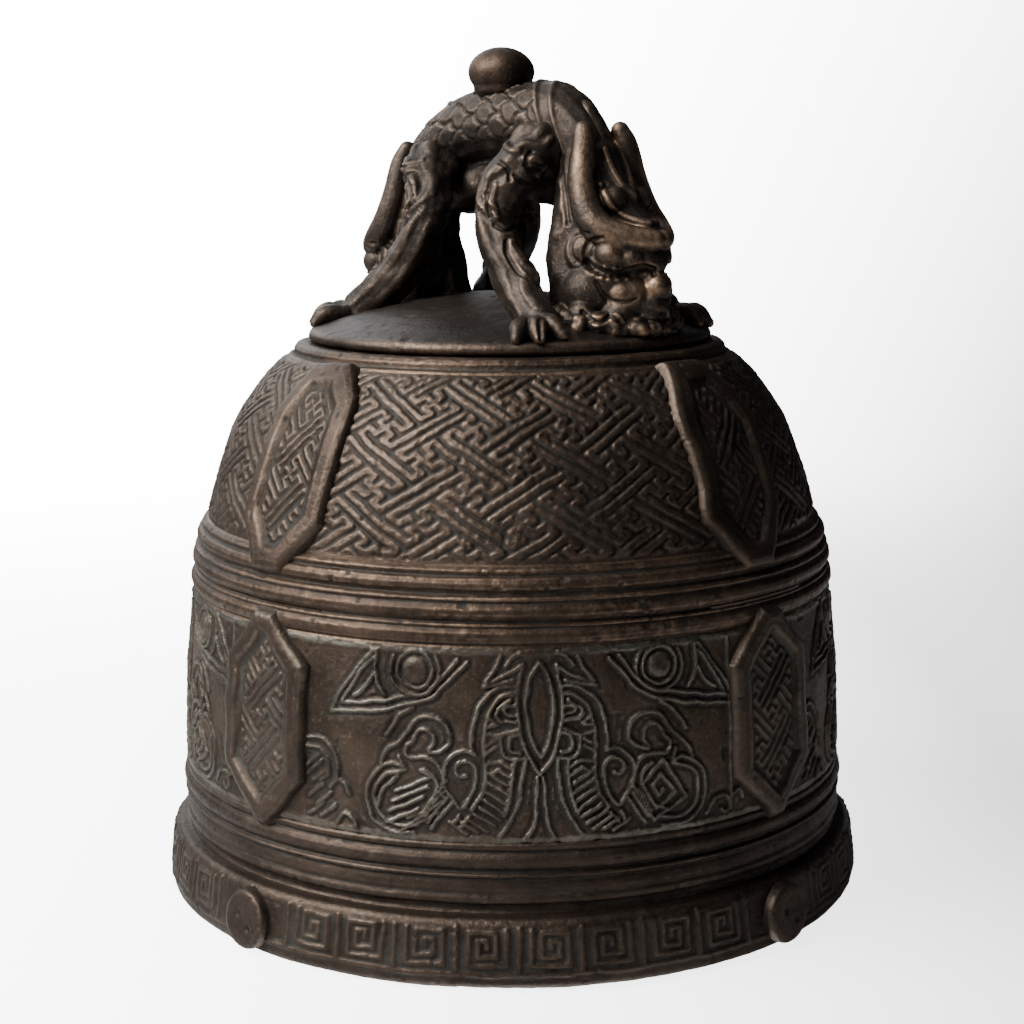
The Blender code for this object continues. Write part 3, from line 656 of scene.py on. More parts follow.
# ---- Rolls
# Three round rolls with fine beads between them, turned in the wax, that belt the bell
# between waist and shoulder. Hands have rubbed them brighter than the wall.
SHOULDER_FOOT = 74.3
ROLL_CORNERS = ((63.85, ROLL_FOOT), (63.6, 60.7), (64.1, 61.1), (64.35, 62.0), (64.3, 62.9), (63.8, 63.5),
                (63.5, 63.7), (63.8, 64.0), (63.7, 64.3), (63.1, 64.7), (63.5, 65.2), (63.95, 66.0),
                (63.9, 67.0), (63.3, 67.8), (63.1, 68.2), (63.5, 68.5), (63.3, 68.9), (62.4, 69.4),
                (62.5, 69.9), (62.9, 70.5), (62.9, 71.3), (62.4, 72.1), (61.6, 72.5), (61.7, 72.9),
                (61.8, 73.4), (61.2, 73.9), (60.55, SHOULDER_FOOT))
roll_bronze = bronze("rubbed_roll_bronze", patina=(0.031, 0.022, 0.017), warm=(0.074, 0.051, 0.037),
                     worn=(0.200, 0.138, 0.096), verdigris=(0.036, 0.037, 0.031), green=0.12)
roll_outer = rounded(profile(ROLL_CORNERS, 0.2 * MM), 1)
roll_inner = profile(((57.0, SHOULDER_FOOT), (60.2, ROLL_FOOT)), 4 * MM)
rolls = wrapped("waist_rolls", roll_outer, roll_inner, FULL_TURN, 600)
dress(rolls, roll_bronze, "root", "cast_bronze", "bell_body")

# ---- Shoulder panels
# The domed shoulder carries an all-over lattice of linked hooked crosses and long bars, a
# traditional weaving pattern, laid on the diagonal. It runs unbroken under the cartouches.
RING_FOOT = 105.4
SHOULDER_CORNERS = ((60.55, SHOULDER_FOOT), (60.0, 76.4), (59.2, 79.4), (58.4, 82.2), (57.4, 85.2),
                    (56.3, 88.2), (55.1, 91.2), (53.7, 94.0), (52.1, 96.6), (50.3, 99.2),
                    (48.4, 101.5), (46.3, 103.6), (44.2, RING_FOOT))
LATTICE_TURN = 1.8               # degrees for one sideways unit of the lattice
LATTICE_RISE = 1.136             # mm for one upward unit
LATTICE_START = (1.2, 6.6)       # a left-handed cross: degrees from the panel's middle, mm up
SHOULDER_RADIUS = 57.0           # mm, halfway up the curve of the shoulder


def lattice_strokes(columns, rows):
    """Every stroke once, in lattice units: arms that hook out of each cross into long bars."""
    strokes = set()
    for i in range(-columns, columns + 1):
        for j in range(-rows, rows + 1):
            hand = 1 if (i + j) % 2 == 0 else -1
            for dx, dy in ((1, 0), (0, 1), (-1, 0), (0, -1)):
                side = (-dy * hand, dx * hand)
                path = [(5 * i, 5 * j)]
                back = (-side[0], -side[1])
                for (sx, sy), count in (((dx, dy), 1), (side, 1), ((dx, dy), 1), (back, 7)):
                    path.append((path[-1][0] + sx * count, path[-1][1] + sy * count))
                for start, end in zip(path, path[1:]):
                    strokes.add((min(start, end), max(start, end)))
    return sorted(strokes)


def lattice_relief(angles, lengths):
    """The lattice on one quarter of the shoulder, fading out just short of its two edges."""
    across = (angles - angles.mean()) * SHOULDER_RADIUS
    up = lengths / MM
    a = math.radians(LATTICE_TURN) * SHOULDER_RADIUS
    b = LATTICE_RISE
    start = (math.radians(LATTICE_START[0]) * SHOULDER_RADIUS, LATTICE_START[1])
    strokes = []
    for ends in lattice_strokes(9, 9):
        strokes.append([(start[0] + (i - j) * a, start[1] + (i + j) * b) for i, j in ends])
    sway = hand_sway(across, up, 4.0, 0.24)
    field = ridge_field(across, up, strokes, half=0.66, rise=0.44, soft=0.34, sway=sway)
    inside = np.clip((up - 0.5) / 0.8, 0, 1) * np.clip((up[-1] - 0.2 - up) / 0.8, 0, 1)
    return field * inside[:, None] * MM


shoulder_outer = rounded(profile(SHOULDER_CORNERS), 4)
shoulder_inner = profile(((41.6, 102.4), (46.0, 98.4), (49.6, 93.6), (52.2, 88.2), (54.4, 82.2),
                          (57.0, SHOULDER_FOOT)), 5 * MM)
for quarter, side in enumerate(PANEL_SIDES):
    turn = (quarter * 90, quarter * 90 + 90)
    panel = wrapped(f"shoulder_panel_{side}", shoulder_outer, shoulder_inner, turn, 290, lattice_relief)
    dress(panel, wall_bronze, "root", "cast_bronze", "bell_body")

# ---- Crown ring
# The plain ring that closes the shoulder and seats the crown plate. Its outer corner is the
# brightest rubbed edge on the bell.
RING_CORNERS = ((44.2, RING_FOOT), (43.8, 105.9), (43.1, 106.0), (42.9, 106.5), (42.8, 107.2),
                (42.2, 107.9), (41.2, 108.2), (36.0, 108.1))
ring_outer = rounded(profile(RING_CORNERS, 0.2 * MM), 1)
ring_inner = profile(((36.0, 104.2), (41.6, 102.4)), 2 * MM)
crown_ring = wrapped("crown_ring", ring_outer, ring_inner, FULL_TURN, 600)
dress(crown_ring, roll_bronze, "root", "cast_bronze", "bell_body")

# ---- Cartouches
# Eight plaques cast apart and soldered on over the seams between the panels, tall ones on the
# shoulder and pointed ones on the waist. Each is a broad worn frame round a sunken lattice field.
UPPER_OUTLINE = ((-6.4, 106.4), (3.2, 106.4), (9.4, 101.0), (10.9, 96.0), (10.6, 79.0), (3.4, 69.9),
                 (-3.8, 69.9), (-11.2, 79.0), (-10.6, 97.0))
LOWER_OUTLINE = ((-2.4, 63.4), (2.0, 63.4), (10.4, 54.6), (10.6, 33.4), (1.6, 23.7), (-1.6, 23.7),
                 (-11.6, 33.0), (-11.4, 54.0))
UPPER_WALL = ((63.0, 68.9), (61.6, 73.0), (60.3, 76.4), (59.2, 79.4), (57.4, 85.2), (55.1, 91.2),
              (52.1, 96.6), (48.4, 101.5), (44.0, 106.2))
UPPER_BACK = ((42.4, 105.0), (46.6, 100.6), (50.4, 95.8), (53.4, 90.6), (55.8, 84.8), (57.6, 79.0),
              (60.6, 68.9))
LOWER_WALL = ((66.7, 22.8), (66.1, WAIST_FOOT), (65.9, 30.0), (65.8, 36.0), (65.3, 45.0),
              (64.6, 52.0), (64.1, 57.0), (63.9, 60.2), (64.3, 64.8))
LOWER_BACK = ((62.6, 64.8), (63.0, 52.0), (64.4, 36.0), (64.9, 22.8))
CARTOUCHE_UNIT = 1.15            # mm for one unit of its lattice
FRAME_RISE = 2.1                 # mm from a plaque's ground to its frame's shoulder
FRAME_CROWN = 0.5                # mm from there to the frame's middle
FIELD_DROP = 1.0                 # mm from the frame down to its field
BURIED = 0.75                    # mm that the ground lies inside the wall
CARTOUCHE_SIDES = ("east", "north", "west", "south")


def depth_inside(x, y, outline):
    """How far points lie inside a convex outline listed clockwise; negative outside."""
    depth = np.full(np.broadcast(x, y).shape, 1e3)
    for (x0, y0), (x1, y1) in zip(outline, outline[1:] + outline[:1]):
        length = math.hypot(x1 - x0, y1 - y0)
        depth = np.minimum(depth, ((x - x0) * (y1 - y0) - (y - y0) * (x1 - x0)) / length)
    return depth


def step_up(value, low, high):
    """A smooth step from 0 at low to 1 at high."""
    part = np.clip((value - low) / (high - low), 0, 1)
    return part * part * (3 - 2 * part)


def cartouche(name, outline, wall, back, skin, half_turn, frame_width, lattice_z, lean):
    """Four plaques that follow the wall: a rounded frame, and lattice bars on its sunken field.
    half_turn and lean are degrees to the slab's edge and from its middle to the outline's."""
    outer = rounded(profile(wall, 0.26 * MM), 8)
    heights = outer[:, 1] / MM
    radii = outer[:, 0] / MM
    strokes = [[((i - j) * CARTOUCHE_UNIT, (i + j) * CARTOUCHE_UNIT + lattice_z) for i, j in ends]
               for ends in lattice_strokes(5, 5)]

    def relief(angles, lengths):
        middle = (angles[0] + angles[-1]) / 2 + math.radians(lean)
        across = np.sin(angles - middle)[None, :] * radii[:, None]
        up = np.broadcast_to(heights[:, None], across.shape)
        spots = np.stack([across, up, np.full(across.shape, middle * 40)], axis=-1).reshape(-1, 3)
        ragged = 0.42 * lumps(spots, 4.5, 61).reshape(across.shape)
        depth = depth_inside(across, up, outline) + ragged
        frame = step_up(depth, -0.45, 0.85) * FRAME_RISE + step_up(depth, 0.2, 2.0) * FRAME_CROWN
        frame -= step_up(depth, frame_width - 1.5, frame_width + 0.35) * FIELD_DROP
        flat_across = (angles - middle) * radii.mean()
        sway = hand_sway(flat_across, heights, 3.0, 0.2)
        bars = ridge_field(flat_across, heights, strokes, half=0.38, rise=0.42, soft=0.6, sway=sway)
        frame += bars * step_up(depth, frame_width + 0.1, frame_width + 0.7)
        return (frame - BURIED) * MM

    for quarter, side in enumerate(CARTOUCHE_SIDES):
        turn = (quarter * 90 - half_turn, quarter * 90 + half_turn)
        plaque = wrapped(f"{name}_{side}_plaque", outer, profile(back, 3 * MM), turn, 92, relief)
        dress(plaque, skin, "root", "rubbed_bronze", f"{name}_{side}")


lower_bronze = bronze("lower_cartouche_bronze", patina=(0.031, 0.023, 0.018), warm=(0.070, 0.050, 0.038),
                      worn=(0.108, 0.088, 0.070), verdigris=(0.062, 0.066, 0.056), green=0.30)
cartouche("lower_cartouche", LOWER_OUTLINE, LOWER_WALL, LOWER_BACK, lower_bronze,
          half_turn=11.8, frame_width=4.9, lattice_z=43.5, lean=0.95)
cartouche("upper_cartouche", UPPER_OUTLINE, UPPER_WALL, UPPER_BACK, wall_bronze,
          half_turn=13.4, frame_width=5.0, lattice_z=87.0, lean=0.0)

# ---- Striking bosses
# Four round flat bosses on the fret band where the bell was struck from outside. They are
# cast discs soldered on, pitted on the face and rubbed at the rim.
BOSS_RADIUS = 5.65               # mm
BOSS_HEIGHT = 6.2                # mm above the lip
BOSS_RISE = 2.2                  # mm from its ground to its rim
BOSS_CROWN = 0.35                # mm from there to its face
BOSS_BURIED = 0.7                # mm that the ground lies inside the wall
BOSS_PITS = (((-1.2, 0.8), 0.5), ((1.6, -1.5), 0.3))
PIT_DEPTH = 0.45
BOSS_HALF_TURN = 5.2             # degrees


def boss_relief(angles, lengths):
    """A low disc with a softened rim and two pits on its face."""
    middle = (angles[0] + angles[-1]) / 2
    x = (angles - middle)[None, :] * RIM_RADIUS
    y = boss_outer[:, 1][:, None] / MM - BOSS_HEIGHT
    depth = BOSS_RADIUS - np.hypot(x, y)
    disc = step_up(depth, -0.3, 0.55) * BOSS_RISE + step_up(depth, 0.1, 1.4) * BOSS_CROWN
    for (pit_x, pit_y), spread in BOSS_PITS:
        pit = np.exp(-((x - pit_x) ** 2 + (y - pit_y) ** 2) / spread)
        disc -= PIT_DEPTH * pit * (depth > 1)
    return (disc - BOSS_BURIED) * MM


boss_outer = rounded(profile(((69.6, 0.4), (70.0, 2.6), (69.9, 4.0), (68.9, 12.0)), 0.22 * MM), 4)
boss_inner = profile(((67.2, 12.0), (67.6, 0.4)), 3 * MM)
# The bosses take the darker base bronze with its painted shade.
for quarter, side in enumerate(CARTOUCHE_SIDES):
    turn = (quarter * 90 - BOSS_HALF_TURN, quarter * 90 + BOSS_HALF_TURN)
    boss = wrapped(f"striking_boss_{side}_disc", boss_outer, boss_inner, turn, 56, boss_relief)
    dress(boss, base_painted_shade_bronze, "root", "rubbed_bronze", f"striking_boss_{side}")

# ---- Crown plate
# A shallow domed casting that plugs the top of the bell; the dragon's feet and chins stand on
# it and the clapper's staple is screwed up into it. It is dark, with fine turning marks.
PLATE_CORNERS = ((36.0, 108.2), (39.0, 108.2), (39.8, 108.7), (40.0, 109.6), (39.4, 110.5),
                 (38.2, 110.9), (36.0, 111.6), (32.0, 112.9), (28.0, 113.9), (23.0, 115.0),
                 (18.0, 116.0), (13.0, 116.8), (8.0, 117.3), (4.0, 117.5), (0.0, 117.6))
PLATE_BACK = ((0.0, 115.4), (2.3, 115.4), (2.3, 111.0), (7.4, 111.0), (8.0, 112.4), (20.0, 110.6),
              (32.0, 105.0), (35.7, 105.0))
TURNING_MARKS = ((1.9, 0.006), (5.3, 0.03))      # mm from ring to ring, and their height


def turning_marks(angles, lengths):
    """Rings left by the lathe."""
    rings = sum(np.sin(lengths / (pitch * MM) * 2 * math.pi) * height for pitch, height in TURNING_MARKS)
    return np.repeat(rings[:, None], len(angles), axis=1) * MM


plate_outer = rounded(profile(PLATE_CORNERS, 0.5 * MM), 1)
plate_inner = profile(PLATE_BACK, 4 * MM)
plate = wrapped("crown_plate_casting", plate_outer, plate_inner, FULL_TURN, 360, turning_marks)
plate_bronze = bronze("crown_plate_bronze", patina=(0.024, 0.020, 0.018), warm=(0.046, 0.037, 0.031),
                      worn=(0.120, 0.086, 0.064), verdigris=(0.032, 0.031, 0.028), green=0.10)
dress(plate, plate_bronze, "root", "cast_bronze", "crown_plate", relief_scale=0.20)

# ---- Dragon's back
# The arched body that is held or hung to lift the bell: cast over a clay core, with rows of
# overlapping scales, a plain collar before the east head and small spines on the west end.
BACK = ((-26.0, 0, 137.5, 4.6), (-21.5, 0, 142.0, 5.8), (-15.5, 0, 146.4, 6.7), (-8.0, 0, 149.4, 7.1),
        (0, 0, 150.4, 7.2), (8.0, 0, 150.9, 7.2), (13.5, 0, 150.4, 7.2), (18.5, 0, 147.0, 6.3),
        (22.5, 0, 141.6, 5.2))
BELLY = ((-20.0, 0, 136.8, 4.2), (-15.5, 0, 137.0, 4.7), (-10.5, 0, 137.4, 4.8), (-4.0, 0, 139.0, 4.6),
         (4.0, 0, 140.6, 4.6), (9.5, 0, 139.8, 4.7), (15.0, 0, 139.0, 4.7), (20.0, 0, 137.6, 4.4))
SPINES = (((-13.4, 0, 152.4, 1.9), (-14.6, 0, 153.6, 1.5), (-15.8, 0, 154.0, 1.0)),
          ((-17.5, 0, 149.8, 1.9), (-18.7, 0, 150.9, 1.5), (-19.9, 0, 151.2, 1.0)),
          ((-21.4, 0, 146.0, 1.9), (-22.4, 0, 147.2, 1.4), (-23.6, 0, 147.4, 1.0)))
GIRTH = 7.2                      # mm: the back's radius, which turns an angle into a length
COLLAR_X = 8.5                   # mm along the back to the collar's first cord


def pick(*pieces):
    """Select these pieces alone; the first is the active one."""
    bpy.ops.object.select_all(action="DESELECT")
    for piece in pieces:
        piece.select_set(True)
    bpy.context.view_layer.objects.active = pieces[0]


def rod(stations, per_span=5):
    """A rounded tapering rod through (x, y, z, radius) stations in millimetres."""
    fine = curve_through(stations, per_span)
    line = bpy.data.curves.new("rod", "CURVE")
    line.dimensions = "3D"
    line.bevel_depth = 1.0
    line.bevel_resolution = 6
    line.use_fill_caps = True
    spline = line.splines.new("POLY")
    spline.points.add(len(fine) - 1)
    for point, (x, y, z, radius) in zip(spline.points, fine):
        point.co = (x * MM, y * MM, z * MM, 1.0)
        point.radius = radius * MM
    piece = bpy.data.objects.new("rod", line)
    bpy.context.scene.collection.objects.link(piece)
    pick(piece)
    bpy.ops.object.convert(target="MESH")
    return [bpy.context.object] + [knob(end[:3], end[3]) for end in (fine[0], fine[-1])]


def knob(centre, radius, stretch=(1, 1, 1)):
    """A clay ball, stretched along the axes."""
    bpy.ops.object.select_all(action="DESELECT")
    bpy.ops.mesh.primitive_ico_sphere_add(subdivisions=4, radius=radius * MM,
                                          location=[c * MM for c in centre], scale=stretch)
    bpy.ops.object.transform_apply(location=True, rotation=True, scale=True)
    return bpy.context.object


def massed(name, clay, voxel, smoothing):
    """Lumps of clay pressed into one skin of voxels this many millimetres wide, then smoothed."""
    pick(*clay)
    bpy.ops.object.join()
    piece = clay[0]
    piece.name = name
    remesh = piece.modifiers.new("skin", "REMESH")
    remesh.mode = "VOXEL"
    remesh.voxel_size = voxel * MM
    bpy.ops.object.modifier_apply(modifier="skin")
    soften = piece.modifiers.new("soften", "SMOOTH")
    soften.factor = 0.5
    soften.iterations = smoothing
    bpy.ops.object.modifier_apply(modifier="soften")
    return piece


def push(piece, height):
    """Move each vertex along its normal by a height in millimetres."""
    place, facing = vertex_rows(piece)
    moved = (place + facing * height[:, None]) * MM
    piece.data.vertices.foreach_set("co", moved.ravel())
    piece.data.update()


def near_strokes(x, y, strokes, half):
    """From 1 on a stroke to 0 beyond its edge, for places x, y in millimetres."""
    best = np.full(len(x), 1e3)
    for stroke in strokes:
        for (x0, y0), (x1, y1) in zip(stroke, stroke[1:]):
            dx, dy = x1 - x0, y1 - y0
            along = np.clip(((x - x0) * dx + (y - y0) * dy) / max(dx * dx + dy * dy, 1e-9), 0, 1)
            best = np.minimum(best, np.hypot(x - x0 - along * dx, y - y0 - along * dy))
    return 1 - step_up(best, half * 0.4, half * 1.5)


def rough_skin(place, amount=1.0):
    """Unevenness of hand-modelled wax, in millimetres."""
    metres = place * MM
    return amount * (lumps(metres, 4.0 * MM, 21) * 0.18 + lumps(metres, 1.9 * MM, 22) * 0.09
                     + lumps(metres, 0.9 * MM, 23) * 0.035 + lumps(metres, 0.5 * MM, 24) * 0.02)


def scales(along, around, length=3.8, width=4.8, rise=0.66):
    """Overlapping rounded scales whose free ends point to -along; both arrays in millimetres."""
    height = np.zeros(len(along))
    taken = np.zeros(len(along), bool)
    first = np.floor(along / length).astype(int)
    for lap in (2, 1, 0, -1):
        row = first + lap
        shift = (row % 2) * width / 2
        centre = (np.rint((around - shift) / width)) * width + shift
        off_along = along - (row * length + length * 0.15)
        off_around = (around - centre) / (width * 0.56)
        round_end = np.hypot(np.minimum(off_along, 0) / (length * 0.95), off_around)
        inside = (round_end < 1) & (off_along < length) & ~taken
        tilt = 1 - (off_along + length * 0.95) / (length * 2)
        groove = step_up(round_end, 0.70, 0.98)
        height[inside] = (rise * (0.55 + 0.45 * tilt) * (1 - groove))[inside]
        taken |= inside
    return height


trunk_clay = rod(BACK) + rod(BELLY)
for spine in SPINES:
    trunk_clay += rod(spine)
trunk = massed("dragon_scaled_back", trunk_clay, 0.33, 3)
place, _ = vertex_rows(trunk)
middle_z = np.interp(place[:, 0], [s[0] for s in BACK], [s[2] for s in BACK])
around = np.arctan2(place[:, 1], place[:, 2] - middle_z)
off_top = np.abs(around)
along = place[:, 0] * 1.08 + 0.7 * lumps(place * MM, 5.0 * MM, 37)
across = around * GIRTH + 0.8 * lumps(place * MM, 5.5 * MM, 38)
past_collar = place[:, 0] - COLLAR_X - np.clip(off_top / 2.0, 0, 1) * 9.0
scaled = step_up(-past_collar, 0.0, 0.8) * step_up(2.1 - off_top, 0.0, 0.3)
cords = 0.55 * np.exp(-(past_collar / 0.7) ** 2) + 0.35 * np.exp(-((past_collar - 4.2) / 0.8) ** 2)
height = (scales(along, across) - 0.30) * scaled + cords * step_up(2.3 - off_top, 0, 0.4)
height += rough_skin(place, 0.8)
height += step_up(off_top, 1.9, 2.4) * lumps(place * MM, 2.6 * MM, 31) * 0.5
push(trunk, height)
dragon_bronze = bronze("dragon_bronze", patina=(0.030, 0.025, 0.022), warm=(0.062, 0.048, 0.039),
                       worn=(0.250, 0.176, 0.124), verdigris=(0.040, 0.038, 0.034), green=0.10)
dress(trunk, dragon_bronze, "root", "dragon_bronze", "dragon_trunk", relief_scale=0.36)

# ---- Jewel
# The round jewel that rides on the dragon's back, a squashed ball of bronze rubbed smooth by
# the hands that lift the bell.
jewel_clay = [knob((-1.0, -1.0, 160.2), 6.5, (1, 1, 0.74)), knob((-1.0, -1.0, 157.0), 5.4, (1, 1, 0.4))]
jewel = massed("dragon_jewel", jewel_clay, 0.24, 6)
place, _ = vertex_rows(jewel)
dent = 0.25 * np.exp(-((place[:, 0] - 1) ** 2 + (place[:, 1] + 6) ** 2) / 3)
push(jewel, rough_skin(place, 0.45) - dent)
jewel_bronze = bronze("rubbed_jewel_bronze", patina=(0.042, 0.029, 0.022), warm=(0.084, 0.057, 0.042),
                      worn=(0.30, 0.19, 0.13), verdigris=(0.10, 0.10, 0.085), green=0.25)
dress(jewel, jewel_bronze, "root", "rubbed_bronze", "jewel", relief_scale=0.22)

# ---- Dragon's legs
# Four bent legs braced on the crown plate, each with a flame-like curl at the shoulder, a
# folded knee and three claws. They are modelled in wax on the back and cast with it.
LEG = ((14.4, 5.6, 145.6, 5.2), (11.5, 10.2, 140.6, 5.0), (9.2, 13.0, 133.4, 4.2),
       (12.6, 14.4, 125.4, 3.9), (19.0, 16.0, 118.4, 4.1), (24.4, 18.0, 114.0, 3.8))
WEST_SHOULDER_DROP = 3.4         # mm that the west legs' shoulders stand lower than the east ones
WEST_SHOULDER_REACH = 1.8        # mm that they stand farther out
CLAWS = (((26.0, 18.5, 113.2, 2.2), (29.5, 19.2, 113.6, 1.9), (32.2, 19.6, 111.9, 1.0)),
         ((26.0, 20.6, 113.2, 2.2), (29.0, 22.8, 113.2, 1.9), (31.2, 24.4, 111.6, 1.0)),
         ((25.0, 21.4, 113.2, 2.2), (26.6, 24.8, 113.0, 1.9), (27.8, 27.2, 111.4, 1.0)))
TENDONS = (((15.5, 9.4, 146.0, 1.2), (12.4, 12.8, 143.4, 1.2), (10.2, 14.6, 140.6, 1.1),
            (9.2, 15.8, 135.0, 1.1)),
           ((10.6, 16.2, 130.6, 1.0), (13.0, 17.2, 125.4, 1.1), (17.6, 18.2, 120.4, 1.1),
            (22.8, 20.0, 116.4, 0.9)),
           ((8.6, 10.4, 137.4, 1.6), (7.6, 11.6, 133.6, 1.6), (8.4, 12.4, 130.0, 1.2)))
FOLDS = (((-0.9, 128.2), (-0.8, 126.0), (0.6, 123.8), (2.4, 122.0), (5.4, 120.2)),
         ((-4.6, 137.0), (-4.4, 135.0), (-4.0, 133.0)),
         ((0.6, 140.4), (2.8, 138.8), (5.2, 139.4), (7.2, 141.2)),
         ((3.8, 144.8), (2.8, 142.6), (4.0, 141.2), (6.4, 142.2)),
         ((-3.2, 131.4), (-1.0, 130.2), (0.8, 131.0)),
         ((-2.2, 143.0), (-0.6, 141.6), (-0.2, 139.6)),
         ((2.4, 112.2), (2.8, 114.4)), ((5.0, 111.6), (4.8, 114.4)))
CURLS = (((-0.8, 148.0), (-0.9, 146.2), (0.2, 145.0), (1.6, 144.8)),
         ((1.4, 145.6), (3.4, 146.2), (6.2, 145.9), (7.6, 147.2)),
         ((0.0, 128.0), (1.6, 125.2), (3.8, 123.1), (6.4, 121.0)),
         ((2.6, 143.4), (5.0, 143.4), (6.6, 141.6), (5.4, 140.2)),
         ((-3.0, 138.6), (-3.4, 135.6), (-2.6, 132.8)))


def corner_view(place):
    """How the +X -Y quarter looks from its own corner: millimetres across and up."""
    return (place[:, 0] + place[:, 1]) / math.sqrt(2), place[:, 2]


def flow_lines(place, stations, count, seed):
    """Ridges that run lengthwise along a limb and wander a little round it; from -1 to 1."""
    line = np.array([s[:3] for s in curve_through(stations, 16)])
    course = np.gradient(line, axis=0)
    course /= np.linalg.norm(course, axis=1)[:, None]
    nearest = np.linalg.norm(place[:, None] - line[None], axis=2).argmin(axis=1)
    out = place - line[nearest]
    flat = np.cross(course, (0, 0, 1))
    flat /= np.linalg.norm(flat, axis=1)[:, None]
    steep = np.cross(course, flat)
    turn = np.arctan2((out * steep[nearest]).sum(axis=1), (out * flat[nearest]).sum(axis=1))
    wave = np.sin(count * turn + 2.2 * lumps(place * MM, 6.0 * MM, seed))
    return np.sign(wave) * np.abs(wave) ** 0.7


leg_clay = []
for stations in (LEG,) + CLAWS + TENDONS:
    leg_clay += rod([(x, -y, z, r) for x, y, z, r in stations])
leg_clay.append(knob((24.8, -18.4, 113.0), 3.8, (1.1, 1.0, 0.7)))
leg_clay.append(knob((13.4, -6.0, 144.6), 5.6))
leg = massed("dragon_leg_east_south_cast", leg_clay, 0.30, 3)
place, facing = vertex_rows(leg)
side, up = corner_view(place)
outward = step_up((facing[:, 1] - facing[:, 0]) * -0.7 + 0.15, 0.0, 0.4)
height = 0.60 * near_strokes(side, up, [curve_through(s) for s in CURLS], 0.65) * outward
height -= 0.60 * near_strokes(side, up, [curve_through(s) for s in FOLDS], 0.40) * outward
height += rough_skin(place, 1.3) + lumps(place * MM, 3.0 * MM, 34) * 0.35
limb = step_up(place[:, 2], 113.5, 116.5)
uneven = 0.6 + 0.8 * lumps(place * MM, 5.0 * MM, 36)
height += 0.34 * limb * uneven * flow_lines(place * (1, -1, 1), LEG, 6, 35)
under_belly = step_up(place[:, 1], -14.5, -11.5) * step_up(147 - place[:, 2], 0, 4)
height += lumps(place * MM, 2.2 * MM, 33) * 0.35 * under_belly
push(leg, height)


def reflected(piece, name, flip_x, flip_y, shift=(0, 0, 0)):
    """The piece seen in a mirror on one or both upright planes, with its own mesh."""
    copy = piece.copy()
    copy.data = piece.data.copy()
    copy.name = name
    bpy.context.scene.collection.objects.link(copy)
    row, _ = vertex_rows(copy)
    row = row * (-1 if flip_x else 1, -1 if flip_y else 1, 1) + np.array(shift)
    copy.data.vertices.foreach_set("co", (row * MM).ravel())
    if flip_x != flip_y:
        pick(copy)
        bpy.ops.object.mode_set(mode="EDIT")
        bpy.ops.mesh.select_all(action="SELECT")
        bpy.ops.mesh.flip_normals()
        bpy.ops.object.mode_set(mode="OBJECT")
    copy.data.update()
    return copy


legs = [(leg, "east_south")]
for corner, flip_x, flip_y in (("east_north", False, True), ("west_south", True, False),
                               ("west_north", True, True)):
    legs.append((reflected(leg, f"dragon_leg_{corner}_cast", flip_x, flip_y), corner))
for west_leg, _ in legs[2:]:
    place, _ = vertex_rows(west_leg)
    shoulder = step_up(place[:, 2], 132.0, 152.0)
    place[:, 0] -= shoulder * WEST_SHOULDER_REACH
    place[:, 2] -= shoulder * WEST_SHOULDER_DROP
    west_leg.data.vertices.foreach_set("co", (place * MM).ravel())
    west_leg.data.update()
for piece, corner in legs:
    dress(piece, dragon_bronze, "root", "dragon_bronze", f"dragon_leg_{corner}", relief_scale=0.34)

# ---- Dragon's heads
# Two heads look outwards, chins on the rocks at the crown plate's rim: two thick brow ridges
# sweep down into a pointed visor over deep eyes, a snarling mouth and a pearl at the lips.
BROW_RIDGE = ((24.4, 5.2, 148.6, 1.8), (25.3, 6.1, 145.6, 2.3), (25.9, 7.3, 139.6, 2.7),
              (27.8, 8.0, 134.0, 3.0), (31.0, 7.6, 130.6, 2.9), (35.2, 4.8, 129.0, 2.5),
              (38.6, 1.2, 128.6, 1.8))
HEAD_MASS = (((20.2, 0, 146.0, 4.8), (22.4, 0, 141.0, 6.2), (24.4, 0, 134.0, 7.2),
              (26.6, 0, 125.0, 7.8), (28.4, 0, 116.0, 8.4)),
             ((21.8, -1.8, 143.0, 4.6), (22.0, -3.0, 133.0, 5.8), (22.2, -3.4, 124.0, 6.6),
              (24.0, -3.0, 115.0, 7.6)),
             ((23.6, 0, 143.0, 4.4), (26.4, 0, 137.0, 4.8), (30.6, 0, 131.6, 4.6), (35.0, 0, 129.4, 3.2)),
             ((30.0, 0, 124.0, 7.4), (34.0, 0, 124.4, 5.0), (36.4, 0, 124.4, 3.4)),
             ((30.0, 0, 117.0, 7.6), (33.6, 0, 116.6, 5.8), (36.4, 0, 116.4, 3.8)),
             ((15.6, 0, 112.6, 4.6), (17.6, 0, 117.0, 5.0), (20.0, 0, 123.0, 5.4), (22.0, 0, 130.0, 5.4)))
CREST = (((18.2, 0, 154.6, 1.0), (20.2, 0, 152.6, 1.6), (22.4, 0, 149.6, 1.9), (24.6, 0, 145.4, 1.8)),
         ((19.6, -1.4, 150.6, 1.8), (21.8, -1.8, 147.6, 2.0), (24.0, -2.0, 143.4, 1.8)),
         ((19.6, 1.4, 150.6, 1.8), (21.8, 1.8, 147.6, 2.0), (24.0, 2.0, 143.4, 1.8)))
FACE_LUMPS = (((32.4, 6.6, 126.2), 2.9), ((34.0, 5.4, 118.6), 2.7), ((29.6, 4.6, 121.6), 5.6),
              ((36.8, 1.4, 125.4), 2.4), ((35.0, 3.4, 125.2), 3.0), ((33.6, 3.0, 118.0), 4.4),
              ((26.0, 4.4, 126.0), 5.8), ((26.8, 5.0, 119.0), 6.2), ((30.6, 6.4, 123.6), 2.4),
              ((30.4, 3.6, 136.0), 2.5))
